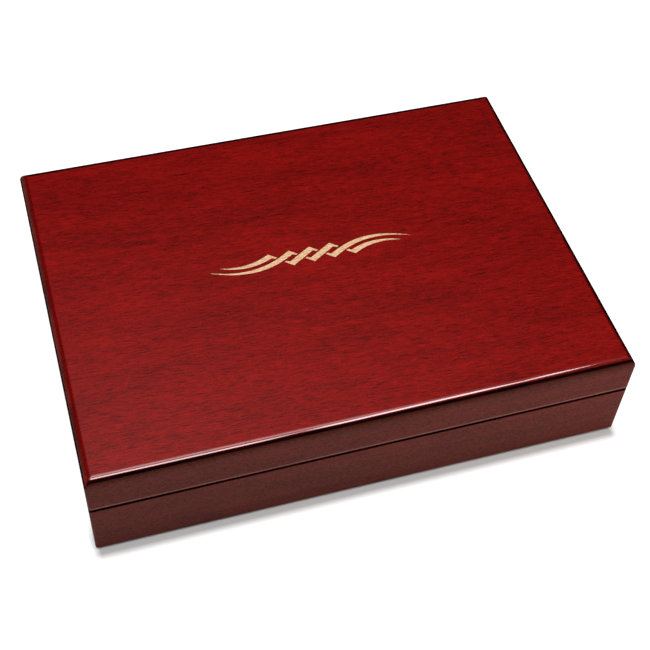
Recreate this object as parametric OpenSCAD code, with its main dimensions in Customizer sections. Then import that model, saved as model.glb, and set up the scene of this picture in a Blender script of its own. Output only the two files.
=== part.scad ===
// Desktop humidor: a low lacquered box with a hinged lid, a cedar lining that rises
// above the rim as a sealing lip, a sliding divider, and a hygrometer and a
// humidifier inside the lid. Millimetres, +Z up, the front faces -Y, and the origin
// is the centre of the underside.

/* [Box] */
// Outside width, left to right
box_w = 260; // [230:1:320]
// Outside depth, front to back
box_d = 194; // [170:1:260]
// Height of the base boards, from their underside to the rim
base_h = 33; // [29:0.5:60]
// Height of the lid, from its rim to its top
lid_h = 21.7; // [21:0.1:40]
// Gap between the two rims when the lid is shut
seam_gap = 0.3; // [0.2:0.05:0.5]
// Thickness of the mitred boards of the base and the lid
wall_t = 11; // [10.5:0.5:16]
// Thickness of the lid's top panel
top_t = 6; // [4:0.5:7]
// Radius of the rounded edge around the lid's top
top_edge_r = 4.5; // [3:0.25:5.5]
// Radius of the upright corners
corner_r = 2; // [1:0.25:3]
// Radius of the eased outside edges at the seam and at the underside
ease = 0.8; // [0.4:0.1:1.2]
// Thickness of the bottom panel
floor_t = 5; // [3:0.5:7]
// Width of the rebate in the boards that the bottom panel sits in
rebate_w = 4; // [2:0.5:6]
// Clearance around the bottom panel in its rebate
panel_fit = 0.2; // [0.1:0.05:0.4]
// Thickness of the felt under the base
felt_t = 1; // [0.8:0.1:2]
// Distance of the felt in from the outside faces
felt_inset = 3; // [2:0.5:6]

/* [Cedar lining] */
// Thickness of the lining strips
cedar_t = 5; // [4:0.5:7]
// Thickness of the cedar sheet on the bottom panel
cedar_floor_t = 3; // [2:0.5:4]
// Thickness of the cedar sheet under the top panel
ceiling_t = 3; // [2.5:0.5:3.5]
// Height of the sealing lip above the base's rim
lip_h = 6; // [4:0.5:8]
// Clearance between the lip and the lid's boards
lip_fit = 0.5; // [0.4:0.05:0.8]
// Bevel on the lip's outer top edge
lip_bevel = 1.2; // [0.6:0.1:2]
// Gap between the top of the lip and the lid's lining
lip_gap = 0.5; // [0.3:0.1:1]

/* [Hinges and lid stop] */
// Distance of the hinge axis in from the back face
hinge_inset = 4; // [3.5:0.1:4.5]
// Angle at which the open lid comes to rest on its back bevels
open_angle = 95; // [90:1:105]
// Angle left between the back bevels at that stop
stop_spare = 1; // [0.5:0.1:3]
// Distance of each hinge's middle from the side of the box
hinge_end = 52; // [44:1:70]
// Length of a hinge
hinge_len = 32; // [26:1:40]
// Number of knuckles of a hinge
knuckles = 5; // [3:2:7]
// Gap between neighbouring knuckles
knuckle_gap = 0.2; // [0.1:0.05:0.4]
// Radius of the hinge barrel
barrel_r = 2.3; // [2:0.1:2.6]
// Clearance around the barrel
barrel_fit = 0.3; // [0.25:0.05:0.5]
// Radius of the hinge pin
pin_r = 1.1; // [0.8:0.05:1.3]
// Clearance of a knuckle around the pin
pin_fit = 0.05; // [0.03:0.01:0.1]
// Radius of the pin's heads
pin_head_r = 1.7; // [1.5:0.1:2]
// Thickness of the pin's heads
pin_head_t = 0.8; // [0.5:0.1:1.2]
// Thickness of a hinge leaf
leaf_t = 1.4; // [1.2:0.1:1.6]
// Width of the rim left uncut inside a hinge leaf
leaf_margin = 0.5; // [0.3:0.1:1]
// Clearance around a leaf in its recess
leaf_fit = 0.1; // [0.05:0.05:0.2]
// Distance between the two screw holes of a leaf
screw_pitch = 20; // [14:0.5:21]
// Radius of a screw hole in a leaf
screw_r = 0.95; // [0.7:0.05:1]
// Radius of a screw hole at the leaf's face, where it is countersunk
screw_head_r = 1.45; // [1.2:0.05:1.5]
// Depth of the countersink
screw_head_h = 0.8; // [0.5:0.1:1]

/* [Divider] */
// Place of the divider's middle, right of the middle of the box
divider_x = 36; // [-60:1:60]
// Thickness of the divider
divider_t = 4; // [3:0.5:6]
// Height of the divider
divider_h = 21; // [17:0.5:22]
// Clearance at each end of the divider
divider_fit = 0.4; // [0.3:0.05:0.8]
// Clearance under the divider
divider_lift = 0.2; // [0.1:0.05:0.3]
// Width of a vent slot in the divider
vent_w = 4; // [2:0.5:6]
// Length of a vent slot in the divider
vent_len = 18; // [10:1:24]
// Distance between the middles of neighbouring vent slots
vent_pitch = 28; // [26:1:40]
// Solid margin at each end of the divider
vent_margin = 8; // [4:1:20]

/* [Hygrometer] */
// Place of the hygrometer, right of the middle of the box
hygro_x = -62; // [-72:1:-52]
// Outside radius of the hygrometer's case
hygro_r = 21; // [19:0.25:23]
// Depth that the case stands below the cedar ceiling
hygro_drop = 7; // [6.5:0.1:8]
// Thickness of the case's wall at the movement
hygro_wall = 2.4; // [2:0.1:3]
// Depth of each step inside the case, for the dial and for the lens
hygro_step = 0.8; // [0.5:0.05:0.9]
// Thickness of the case's back
hygro_back_t = 1; // [0.8:0.1:1.2]
// Gap between the case's back and the top panel
hygro_back_gap = 0.3; // [0.1:0.05:0.5]
// Clearance around the case in the ceiling, and around what is in the case
hygro_fit = 0.15; // [0.1:0.05:0.3]
// Width of the flange that covers the edge of the hole
flange_w = 3; // [2:0.5:4]
// Thickness of that flange
flange_t = 1.2; // [0.8:0.1:1.5]
// Thickness of the dial
dial_t = 0.6; // [0.4:0.1:0.8]
// Thickness of the lens
lens_t = 1.4; // [1:0.1:1.8]
// Space between the lens and the dial
dial_gap = 2.8; // [2.6:0.1:3]
// Thickness of the bezel's wall
bezel_t = 1.6; // [1.2:0.1:2]
// Height of the bezel
bezel_h = 3.6; // [3:0.1:4]
// Width of the bezel's lip inside its wall, over the lens
bezel_lip = 3.6; // [3:0.1:4.5]
// Radius of the movement's drum
movement_r = 7; // [5:0.5:10]
// Height of the movement's drum
movement_h = 2.4; // [1.5:0.1:2.6]
// Radius of the needle's pivot
pivot_r = 0.6; // [0.5:0.05:0.8]
// Clearance around the pivot
pivot_fit = 0.05; // [0.03:0.01:0.1]
// Radius of the pivot's head, which the needle's hub rests on
pivot_head_r = 1; // [0.9:0.1:1.4]
// Thickness of the pivot's head
pivot_head_t = 0.4; // [0.3:0.1:0.6]
// Length of the needle from its pivot to its tip
needle_len = 14.5; // [10:0.5:15.5]
// Width of the needle at its pivot
needle_root_w = 1.6; // [1.2:0.1:2]
// Width of the needle at its tip
needle_tip_w = 0.5; // [0.3:0.1:0.8]
// Thickness of the needle
needle_t = 0.4; // [0.3:0.05:0.6]
// Radius of the needle's hub
needle_hub_r = 1.7; // [1.4:0.1:2.2]
// Height of the needle's hub
needle_hub_h = 0.8; // [0.6:0.1:1]
// Distance of the counterweight's middle from the pivot
needle_tail = 5.5; // [4:0.5:7]
// Radius of the counterweight
counterweight_r = 2; // [1.5:0.1:2.5]
// Space between the hub and the dial
needle_clear = 0.7; // [0.4:0.1:1]
// Humidity that the needle shows, in per cent
reading = 68; // [0:1:100]
// Angle of the scale from its first mark to its last
scale_angle = 270; // [240:10:300]

/* [Humidifier] */
// Place of the humidifier, right of the middle of the box
humid_x = 38; // [32:1:44]
// Width of the humidifier
humid_w = 96; // [70:1:110]
// Depth of the humidifier, front to back
humid_d = 42; // [36:1:60]
// Thickness of the humidifier
humid_h = 12; // [11:0.5:13]
// Wall of the humidifier's case
humid_wall = 1.8; // [1.6:0.1:2.4]
// Back of the humidifier's case
humid_back = 3; // [2.8:0.1:3.5]
// Radius of the humidifier's corners
humid_r = 4; // [3:0.5:6]
// Thickness of the grille
grille_t = 2; // [1.5:0.1:2.5]
// Ledge in the case that the grille sits on
grille_ledge = 0.8; // [0.6:0.1:1]
// Clearance around the grille and the foam
humid_fit = 0.2; // [0.1:0.05:0.4]
// Width of a slot in the grille
slot_w = 3; // [2:0.5:4]
// Length of a slot in the grille
slot_len = 13; // [10:0.5:14]
// Distance between neighbouring slots
slot_pitch = 6; // [5.5:0.5:8]
// Solid margin around the slots
slot_margin = 6; // [5:0.5:8]
// Length of a magnet
magnet_len = 20; // [14:1:26]
// Width of a magnet
magnet_w = 10; // [6:0.5:12]
// Thickness of a magnet
magnet_t = 2; // [1.5:0.1:2.2]
// Distance between the middles of the two magnets
magnet_pitch = 56; // [40:1:60]
// Thickness of the steel plates that the magnets hold to
plate_t = 0.8; // [0.5:0.1:1]
// Margin of a steel plate around its magnet
plate_margin = 2; // [1:0.5:3]

/* [Hidden] */
$fn = 64;
// Length by which a cutting shape runs past what it cuts
over = 1;

// Heights of the carcass
z_base = felt_t;
z_rim = z_base + base_h;
z_lid = z_rim + seam_gap;
z_top = z_lid + lid_h;
z_panel = z_top - top_t;
z_ceiling = z_panel - ceiling_t;
z_floor = z_base + floor_t;
z_inside = z_floor + cedar_floor_t;
z_lip = z_rim + lip_h;

// Space inside the boards, and inside the lining
inner_w = box_w - 2 * wall_t;
inner_d = box_d - 2 * wall_t;
clear_w = inner_w - 2 * cedar_t;
clear_d = inner_d - 2 * cedar_t;

// Hinge axis, and what is set out from it
axis_y = box_d / 2 - hinge_inset;
axis_z = z_rim + seam_gap / 2;
hinge_x = box_w / 2 - hinge_end;
bevel_angle = (open_angle + stop_spare) / 2;
leaf_w = wall_t - hinge_inset - leaf_margin;
screw_y = -(leaf_w + barrel_r + barrel_fit) / 2;
knuckle_len = (hinge_len - (knuckles - 1) * knuckle_gap) / knuckles;
knuckle_step = knuckle_len + knuckle_gap;
BASE_SIDE = 0;
LID_SIDE = 1;

// Levels in the hygrometer, from its mouth up
z_mouth = z_ceiling - hygro_drop;
z_lens = z_mouth + hygro_fit;
z_lens_seat = z_lens + lens_t;
z_dial = z_lens_seat + dial_gap;
z_dial_seat = z_dial + dial_t;
z_hygro_back = z_panel - hygro_back_gap;
z_movement = z_hygro_back - hygro_back_t;
movement_room_r = hygro_r - hygro_wall;
dial_room_r = movement_room_r + hygro_step;
lens_room_r = dial_room_r + hygro_step;
z_needle = z_dial - needle_clear - needle_hub_h;
needle_turn = (reading / 100 - 0.5) * scale_angle - 90;

// Levels in the humidifier, from its mouth up
z_humid_back = z_ceiling - plate_t;
z_humid_mouth = z_humid_back - humid_h;
z_grille_seat = z_humid_mouth + grille_t;
z_foam_seat = z_humid_back - humid_back;

wood_red = "#7a1613";
wood_brown = "#572a26";
cedar = "#b98058";
brass = "#c9a24e";
steel = "#b8bcc0";

// Flat outlines

// Rectangle about the origin with round corners
module round_rect(w, d, r) {
    square([w - 2 * r, d], center = true);
    square([w, d - 2 * r], center = true);
    for (x = [-1, 1], y = [-1, 1])
        translate([x * (w / 2 - r), y * (d / 2 - r)]) circle(r);
}

// Slot with round ends along X, about the origin
module slot(length, width) {
    square([length - width, width], center = true);
    for (x = [-1, 1]) translate([x * (length - width) / 2, 0]) circle(width / 2);
}

// Upright outline of the base, eased at all four corners
module base_outline(length) {
    translate([0, base_h / 2]) round_rect(length, base_h, ease);
}

// Upright outline of the lid, eased at the rim and rounded at the top
module lid_outline(length) {
    half = length / 2;
    shoulder = lid_h - top_edge_r;
    translate([-half, ease]) square([length, shoulder - ease]);
    translate([-half + ease, 0]) square([length - 2 * ease, ease]);
    translate([-half + top_edge_r, shoulder]) square([length - 2 * top_edge_r, top_edge_r]);
    for (x = [-1, 1]) {
        translate([x * (half - ease), ease]) circle(ease);
        translate([x * (half - top_edge_r), shoulder]) circle(top_edge_r);
    }
}

// Plan of one mitred board, between its two 45 degree cuts
module front_mitre() {
    x = box_w / 2;
    y = -box_d / 2;
    polygon([
        [-x - over, y - over], [x + over, y - over],
        [x - wall_t - over, y + wall_t + over], [-x + wall_t + over, y + wall_t + over]
    ]);
}

module left_mitre() {
    x = -box_w / 2;
    y = box_d / 2;
    polygon([
        [x - over, -y - over], [x + wall_t + over, -y + wall_t + over],
        [x + wall_t + over, y - wall_t - over], [x - over, y + over]
    ]);
}

module mitre(side) {
    if (side == "front") front_mitre();
    if (side == "back") mirror([0, 1]) front_mitre();
    if (side == "left") left_mitre();
    if (side == "right") mirror([1, 0]) left_mitre();
}

// Carcass of the base and the lid

// Block with round upright corners whose front and side outlines are the two children
module shaped_block(height) {
    intersection() {
        linear_extrude(height) round_rect(box_w, box_d, corner_r);
        rotate([90, 0, 0]) linear_extrude(box_d + 2 * over, center = true) children(0);
        rotate([90, 0, 90]) linear_extrude(box_w + 2 * over, center = true) children(1);
    }
}

module base_block() {
    translate([0, 0, z_base]) shaped_block(base_h) {
        base_outline(box_w);
        base_outline(box_d);
    }
}

module lid_block() {
    translate([0, 0, z_lid]) shaped_block(lid_h) {
        lid_outline(box_w);
        lid_outline(box_d);
    }
}

// Upright block about the Z axis, between two heights
module room(w, d, z0, z1) {
    translate([-w / 2, -d / 2, z0]) cube([w, d, z1 - z0]);
}

// Wedge behind the hinge axis, whose two faces become the bevels that stop the lid
module back_wedge() {
    reach = hinge_inset + over;
    rise = reach * tan(bevel_angle);
    translate([0, axis_y, axis_z]) rotate([90, 0, 90])
        linear_extrude(box_w + 2 * over, center = true)
            polygon([[0, 0], [reach, -rise], [reach, rise]]);
}

module base_wall(side) {
    intersection() {
        difference() {
            base_block();
            room(inner_w, inner_d, z_base - over, z_rim + over);
            room(inner_w + 2 * rebate_w, inner_d + 2 * rebate_w, z_base - over, z_floor);
            back_wedge();
        }
        linear_extrude(z_rim + over) mitre(side);
    }
}

module lid_wall(side) {
    intersection() {
        difference() {
            lid_block();
            room(inner_w, inner_d, z_lid - over, z_panel + over);
            room(box_w + 2 * over, box_d + 2 * over, z_panel, z_top + over);
            back_wedge();
        }
        linear_extrude(z_top) mitre(side);
    }
}

module base_front_wall() { color(wood_brown) base_wall("front"); }
module base_left_wall() { color(wood_brown) base_wall("left"); }
module base_right_wall() { color(wood_brown) base_wall("right"); }
module lid_front_wall() { color(wood_brown) lid_wall("front"); }
module lid_left_wall() { color(wood_brown) lid_wall("left"); }
module lid_right_wall() { color(wood_brown) lid_wall("right"); }

module base_back_wall() {
    color(wood_brown) difference() {
        base_wall("back");
        for (side = [-1, 1]) at_hinge(side) hinge_mortise();
    }
}

module lid_back_wall() {
    color(wood_brown) difference() {
        lid_wall("back");
        for (side = [-1, 1]) at_hinge(side) mirror([0, 0, 1]) hinge_mortise();
    }
}

module lid_top_panel() {
    color(wood_red) intersection() {
        lid_block();
        room(box_w + 2 * over, box_d + 2 * over, z_panel, z_top + over);
    }
}

module base_floor_panel() {
    slack = 2 * (rebate_w - panel_fit);
    color(wood_brown) room(inner_w + slack, inner_d + slack, z_base, z_floor);
}

module felt_pad() {
    color("#2c2a2b") linear_extrude(felt_t)
        round_rect(box_w - 2 * felt_inset, box_d - 2 * felt_inset, corner_r);
}

// Cedar lining

module cedar_floor() {
    color(cedar) room(inner_w, inner_d, z_floor, z_inside);
}

// Section of a lining strip of the base: Y runs inwards from the board, Z is up
module liner_section() {
    height = z_lip - z_inside;
    rim = z_rim - z_inside;
    polygon([
        [0, 0], [cedar_t, 0], [cedar_t, height], [lip_fit + lip_bevel, height],
        [lip_fit, height - lip_bevel], [lip_fit, rim], [0, rim]
    ]);
}

// Strip along the front, from board to board, with the lip's ends set in from the lid
module long_liner() {
    difference() {
        translate([0, -inner_d / 2, z_inside]) rotate([90, 0, 90])
            linear_extrude(inner_w, center = true) liner_section();
        for (x = [-1, 1]) translate([x * inner_w / 2, -inner_d / 2, z_rim])
            translate([-lip_fit, -over, 0]) cube([2 * lip_fit, cedar_t + 2 * over, lip_h + over]);
    }
}

// Strip along the left, between the front and back strips
module short_liner() {
    translate([-inner_w / 2, 0, z_inside]) rotate([90, 0, 0])
        linear_extrude(clear_d, center = true) liner_section();
}

module base_front_liner() { color(cedar) long_liner(); }
module base_back_liner() { color(cedar) mirror([0, 1, 0]) long_liner(); }
module base_left_liner() { color(cedar) short_liner(); }
module base_right_liner() { color(cedar) mirror([1, 0, 0]) short_liner(); }

module cedar_ceiling() {
    color(cedar) difference() {
        room(inner_w, inner_d, z_ceiling, z_panel);
        translate([hygro_x, 0, z_ceiling - over]) cylinder(h = ceiling_t + 2 * over, r = hygro_r + hygro_fit);
    }
}

module lid_strip(x0, y0, w, d) {
    z0 = z_lip + lip_gap;
    color(cedar) translate([x0, y0, z0]) cube([w, d, z_ceiling - z0]);
}

module lid_front_liner() { lid_strip(-inner_w / 2, -inner_d / 2, inner_w, cedar_t); }
module lid_back_liner() { lid_strip(-inner_w / 2, clear_d / 2, inner_w, cedar_t); }
module lid_left_liner() { lid_strip(-inner_w / 2, -clear_d / 2, cedar_t, clear_d); }
module lid_right_liner() { lid_strip(clear_w / 2, -clear_d / 2, cedar_t, clear_d); }

// Hinges, drawn about their own axis

module at_hinge(side) {
    translate([side * hinge_x, axis_y, axis_z]) children();
}

// Cylinder along X, from x0
module bar(x0, length, r) {
    translate([x0, 0, 0]) rotate([0, 90, 0]) cylinder(h = length, r = r);
}

function knuckle_x(i) = -hinge_len / 2 + i * knuckle_step;

// Place of the screw holes of a base leaf, at the leaf's top face
module at_screws() {
    for (x = [-1, 1]) translate([x * screw_pitch / 2, screw_y, -seam_gap / 2]) children();
}

// Room that a base leaf and its barrel take in the back board
module hinge_mortise() {
    length = hinge_len + 2 * leaf_fit;
    barrel_room = hinge_len + 2 * (pin_head_t + barrel_fit);
    translate([-length / 2, -leaf_w - leaf_fit, -seam_gap / 2 - leaf_t])
        cube([length, leaf_w + hinge_inset, leaf_t + over]);
    bar(-barrel_room / 2, barrel_room, barrel_r + barrel_fit);
}

// Leaf with every second knuckle, cut back for the other leaf's knuckles
module leaf(first) {
    difference() {
        union() {
            translate([-hinge_len / 2, -leaf_w, -seam_gap / 2 - leaf_t])
                cube([hinge_len, leaf_w, leaf_t]);
            for (i = [first:2:knuckles - 1]) bar(knuckle_x(i), knuckle_len, barrel_r);
        }
        for (i = [1 - first:2:knuckles - 1])
            bar(knuckle_x(i) - knuckle_gap, knuckle_len + 2 * knuckle_gap, barrel_r + barrel_fit);
        bar(-hinge_len / 2 - over, hinge_len + 2 * over, pin_r + pin_fit);
        at_screws() {
            translate([0, 0, -screw_head_h]) cylinder(h = screw_head_h, r1 = screw_r, r2 = screw_head_r);
            translate([0, 0, -leaf_t - over]) cylinder(h = leaf_t + over, r = screw_r);
        }
    }
}

module base_leaf(side) { color(brass) at_hinge(side) leaf(BASE_SIDE); }
module lid_leaf(side) { color(brass) at_hinge(side) mirror([0, 0, 1]) leaf(LID_SIDE); }

module left_hinge_base_leaf() { base_leaf(-1); }
module right_hinge_base_leaf() { base_leaf(1); }
module left_hinge_lid_leaf() { lid_leaf(-1); }
module right_hinge_lid_leaf() { lid_leaf(1); }

module hinge_pins() {
    color(brass) for (side = [-1, 1]) at_hinge(side) {
        bar(-hinge_len / 2 - pin_head_t, hinge_len + 2 * pin_head_t, pin_r);
        bar(-hinge_len / 2 - pin_head_t, pin_head_t, pin_head_r);
        bar(hinge_len / 2, pin_head_t, pin_head_r);
    }
}

// Divider

module divider() {
    length = clear_d - 2 * divider_fit;
    count = floor((length - 2 * vent_margin - vent_len) / vent_pitch) + 1;
    color(cedar) translate([divider_x, 0, z_inside + divider_lift]) rotate([90, 0, 90])
        linear_extrude(divider_t, center = true) difference() {
            translate([-length / 2, 0]) square([length, divider_h]);
            for (i = [0:count - 1])
                translate([(i - (count - 1) / 2) * vent_pitch, divider_h / 2]) slot(vent_len, vent_w);
        }
}

// Hygrometer, whose dial faces down while the lid is shut

module at_hygrometer(z) {
    translate([hygro_x, 0, z]) children();
}

module hygrometer_case() {
    color(brass) difference() {
        union() {
            at_hygrometer(z_mouth) cylinder(h = z_hygro_back - z_mouth, r = hygro_r);
            at_hygrometer(z_ceiling - flange_t) cylinder(h = flange_t, r = hygro_r + flange_w);
        }
        at_hygrometer(z_mouth - over) cylinder(h = z_lens_seat - z_mouth + over, r = lens_room_r);
        at_hygrometer(z_mouth - over) cylinder(h = z_dial_seat - z_mouth + over, r = dial_room_r);
        at_hygrometer(z_mouth - over) cylinder(h = z_movement - z_mouth + over, r = movement_room_r);
    }
}

// Drum of the humidity-sensing coil, with the pivot that carries the needle
module hygrometer_movement() {
    z_head = z_needle - pivot_fit - pivot_head_t;
    color(steel) {
        at_hygrometer(z_movement - movement_h) cylinder(h = movement_h, r = movement_r);
        at_hygrometer(z_head) cylinder(h = z_movement - movement_h - z_head, r = pivot_r);
        at_hygrometer(z_head) cylinder(h = pivot_head_t, r = pivot_head_r);
    }
}

module hygrometer_dial() {
    color("ivory") at_hygrometer(z_dial) difference() {
        cylinder(h = dial_t, r = dial_room_r - hygro_fit);
        translate([0, 0, -over]) cylinder(h = dial_t + 2 * over, r = pivot_r + hygro_fit);
    }
}

// Pointer along +X with a counterweight on its tail, turned to the reading
module hygrometer_needle() {
    color("firebrick") at_hygrometer(z_needle) rotate(needle_turn) difference() {
        union() {
            cylinder(h = needle_hub_h, r = needle_hub_r);
            linear_extrude(needle_t) polygon([
                [-needle_tail, -needle_root_w / 2], [0, -needle_root_w / 2],
                [needle_len, -needle_tip_w / 2], [needle_len, needle_tip_w / 2],
                [0, needle_root_w / 2], [-needle_tail, needle_root_w / 2]
            ]);
            translate([-needle_tail, 0, 0]) cylinder(h = needle_t, r = counterweight_r);
        }
        translate([0, 0, -over]) cylinder(h = needle_hub_h + 2 * over, r = pivot_r + pivot_fit);
    }
}

module hygrometer_lens() {
    color("lightblue", 0.4) at_hygrometer(z_lens) cylinder(h = lens_t, r = lens_room_r - hygro_fit);
}

// Spun ring that slips over the case's mouth and holds the lens
module hygrometer_bezel() {
    outer = hygro_r + hygro_fit + bezel_t;
    round_r = bezel_t / 2;
    color(brass) at_hygrometer(z_mouth - bezel_t) rotate_extrude() difference() {
        union() {
            translate([outer - bezel_lip - bezel_t, 0]) square([bezel_lip + bezel_t - round_r, bezel_t]);
            translate([outer - bezel_t, round_r]) square([bezel_t, bezel_h - round_r]);
            translate([outer - round_r, round_r]) circle(round_r);
        }
        polygon([
            [outer - bezel_lip - bezel_t - over, -over], [outer - bezel_lip, -over],
            [outer - bezel_lip, 0], [outer - bezel_lip - bezel_t, bezel_t / 2],
            [outer - bezel_lip - bezel_t - over, bezel_t / 2]
        ]);
    }
}

// Humidifier, held under the ceiling by magnets

module at_humidifier(z) {
    translate([humid_x, 0, z]) children();
}

module at_magnets() {
    for (x = [-1, 1]) translate([x * magnet_pitch / 2, 0]) children();
}

module humidifier_plates() {
    color(steel) at_humidifier(z_humid_back) linear_extrude(plate_t) at_magnets()
        square([magnet_len + 2 * plate_margin, magnet_w + 2 * plate_margin], center = true);
}

module humidifier_magnets() {
    color("dimgray") at_humidifier(z_humid_back - magnet_t) linear_extrude(magnet_t) at_magnets()
        square([magnet_len, magnet_w], center = true);
}

// Plan of the humidifier, set in from its outside
module humidifier_plan(inset) {
    round_rect(humid_w - 2 * inset, humid_d - 2 * inset, humid_r - inset);
}

module humidifier_case() {
    mouth_wall = humid_wall - grille_ledge;
    color("#1d1d1f") difference() {
        at_humidifier(z_humid_mouth) linear_extrude(humid_h) humidifier_plan(0);
        at_humidifier(z_humid_mouth - over) linear_extrude(grille_t + over) humidifier_plan(mouth_wall);
        at_humidifier(z_humid_mouth - over) linear_extrude(z_foam_seat - z_humid_mouth + over)
            humidifier_plan(humid_wall);
        at_humidifier(z_humid_back - magnet_t - humid_fit) linear_extrude(magnet_t + humid_fit + over)
            at_magnets()
                square([magnet_len + 2 * humid_fit, magnet_w + 2 * humid_fit], center = true);
    }
}

module humidifier_foam() {
    z0 = z_grille_seat + humid_fit;
    color("#3f5a3a") at_humidifier(z0) linear_extrude(z_foam_seat - humid_fit - z0)
        humidifier_plan(humid_wall + humid_fit);
}

// Cover with two rows of slots that let the moisture out
module humidifier_grille() {
    columns = floor((humid_w - 2 * slot_margin - slot_w) / slot_pitch) + 1;
    row_step = humid_d - 2 * slot_margin - slot_len;
    color("#26262a") at_humidifier(z_humid_mouth) linear_extrude(grille_t) difference() {
        humidifier_plan(humid_wall - grille_ledge + humid_fit);
        for (i = [0:columns - 1], y = [-1, 1])
            translate([(i - (columns - 1) / 2) * slot_pitch, y * row_step / 2])
                rotate(90) slot(slot_len, slot_w);
    }
}

felt_pad();
base_floor_panel();
base_front_wall();
base_back_wall();
base_left_wall();
base_right_wall();
cedar_floor();
base_front_liner();
base_back_liner();
base_left_liner();
base_right_liner();
left_hinge_base_leaf();
right_hinge_base_leaf();
hinge_pins();
divider();
lid_top_panel();
lid_front_wall();
lid_back_wall();
lid_left_wall();
lid_right_wall();
cedar_ceiling();
lid_front_liner();
lid_back_liner();
lid_left_liner();
lid_right_liner();
left_hinge_lid_leaf();
right_hinge_lid_leaf();
hygrometer_case();
hygrometer_movement();
hygrometer_dial();
hygrometer_needle();
hygrometer_lens();
hygrometer_bezel();
humidifier_plates();
humidifier_magnets();
humidifier_case();
humidifier_foam();
humidifier_grille();
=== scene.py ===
"""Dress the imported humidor: veneered box and lid, cedar lining, hinges, dial and humidifier."""
import logging
import math
from dataclasses import dataclass, field, replace
from enum import Enum
from typing import Any, Callable, Iterable, NamedTuple, Sequence

import bmesh
import bpy
from mathutils import Matrix, Vector, noise


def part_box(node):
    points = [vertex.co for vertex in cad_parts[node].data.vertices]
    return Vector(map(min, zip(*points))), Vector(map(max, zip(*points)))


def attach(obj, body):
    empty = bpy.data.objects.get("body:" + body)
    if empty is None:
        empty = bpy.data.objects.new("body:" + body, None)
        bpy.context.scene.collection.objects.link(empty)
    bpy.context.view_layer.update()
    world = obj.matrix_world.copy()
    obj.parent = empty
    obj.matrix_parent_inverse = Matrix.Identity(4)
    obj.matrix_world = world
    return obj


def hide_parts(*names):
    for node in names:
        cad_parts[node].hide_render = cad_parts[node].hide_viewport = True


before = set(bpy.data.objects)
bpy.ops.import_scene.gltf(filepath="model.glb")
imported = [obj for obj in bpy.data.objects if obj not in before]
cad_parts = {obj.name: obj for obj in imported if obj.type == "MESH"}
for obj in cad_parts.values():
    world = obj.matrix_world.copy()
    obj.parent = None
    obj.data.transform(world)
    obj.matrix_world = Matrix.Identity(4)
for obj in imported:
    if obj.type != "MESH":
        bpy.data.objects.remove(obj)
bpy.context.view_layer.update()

Colour = tuple[float, float, float, float]
Pair = tuple[float, float]
Triple = tuple[float, float, float]
Face = bpy.types.MeshPolygon
Material = bpy.types.Material
Mesh = bpy.types.Mesh
Piece = bpy.types.Object
Socket = bpy.types.NodeSocket
Finishes = dict[str, Material]

LOG = logging.getLogger("humidor")
MM = 0.001
WHITE: Colour = (1.0, 1.0, 1.0, 1.0)
GLOSS: dict[str, Any] = {"Specular Tint": (1.0, 0.15, 0.12, 1.0), "Coat Weight": 1.0,
                         "Coat Roughness": 0.03, "Coat IOR": 1.62}
NOISE_RANGE: Pair = (0.3, 0.7)
CRISP_TURN = 34.0
FLAT_TURN = 0.6
MERGE_REACH = 1e-6
FACE_WEIGHT = 80


def screen(*channels: float) -> Colour:
    """Screen colour, each channel from 0 to 255, as linear light with full cover."""
    parts = [channel / 255 for channel in channels]
    return (*(p / 12.92 if p <= 0.04045 else ((p + 0.055) / 1.055) ** 2.4 for p in parts), 1.0)


class Grain(Enum):
    """The axis along which a board's grain runs."""

    X = "x"
    Y = "y"


class Side(Enum):
    """The four sides of the box, in the order of the corners that start them."""

    RIGHT = 0
    BACK = 1
    LEFT = 2
    FRONT = 3

    @property
    def word(self) -> str:
        """The side's name as the CAD nodes spell it."""
        return self.name.lower()

    @property
    def grain(self) -> Grain:
        """The axis that the side's boards run along."""
        return Grain.X if self in (Side.FRONT, Side.BACK) else Grain.Y


class TopFinish(Enum):
    """The finishes of the lid's top panel, in the order of its material slots."""

    GLOSS = "gloss_veneer"
    FRONT_GLOSS = "gloss_front_edge"
    LEFT_GLOSS = "gloss_left_edge"
    STAIN = "shaded_edge"
    LEFT_STAIN = "shaded_left_edge"
    RIGHT_STAIN = "shaded_right_edge"
    FRONT_SATIN = "satin_front_edge"
    BACK_SATIN = "satin_veneer_x"
    SIDE_SATIN = "satin_veneer_y"
    ENGRAVED_FLOOR = "engraved_floor"
    ENGRAVED_WALL = "engraved_wall"


class Signal:
    """A node's output that takes part in plain arithmetic."""

    def __init__(self, nodes: "Nodes", socket: Socket) -> None:
        """Keep the socket and the nodes that it belongs to."""
        self.nodes, self.socket = nodes, socket

    def __add__(self, other: Any) -> "Signal":
        """The sum with another value."""
        return self.nodes.step("ADD", self, other)

    def __sub__(self, other: Any) -> "Signal":
        """What is left after another value is taken off."""
        return self.nodes.step("SUBTRACT", self, other)

    def __mul__(self, other: Any) -> "Signal":
        """The product with another value."""
        return self.nodes.step("MULTIPLY", self, other)

    def __truediv__(self, other: Any) -> "Signal":
        """The quotient by another value."""
        return self.nodes.step("DIVIDE", self, other)

    def spread(self, low: float, high: float, start: float = 0.0, end: float = 1.0,
               **settings: Any) -> "Signal":
        """Stretch the value from one range to another, held at its ends.

        Args:
            low: Where the range starts.
            high: Where it ends.
            start: Result at low.
            end: Result at high.
            settings: The node's own properties.

        Returns:
            The stretched value.
        """
        inputs = {"Value": self, "From Min": low, "From Max": high, "To Min": start, "To Max": end}
        return self.nodes.add("ShaderNodeMapRange", inputs, **settings)


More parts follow.
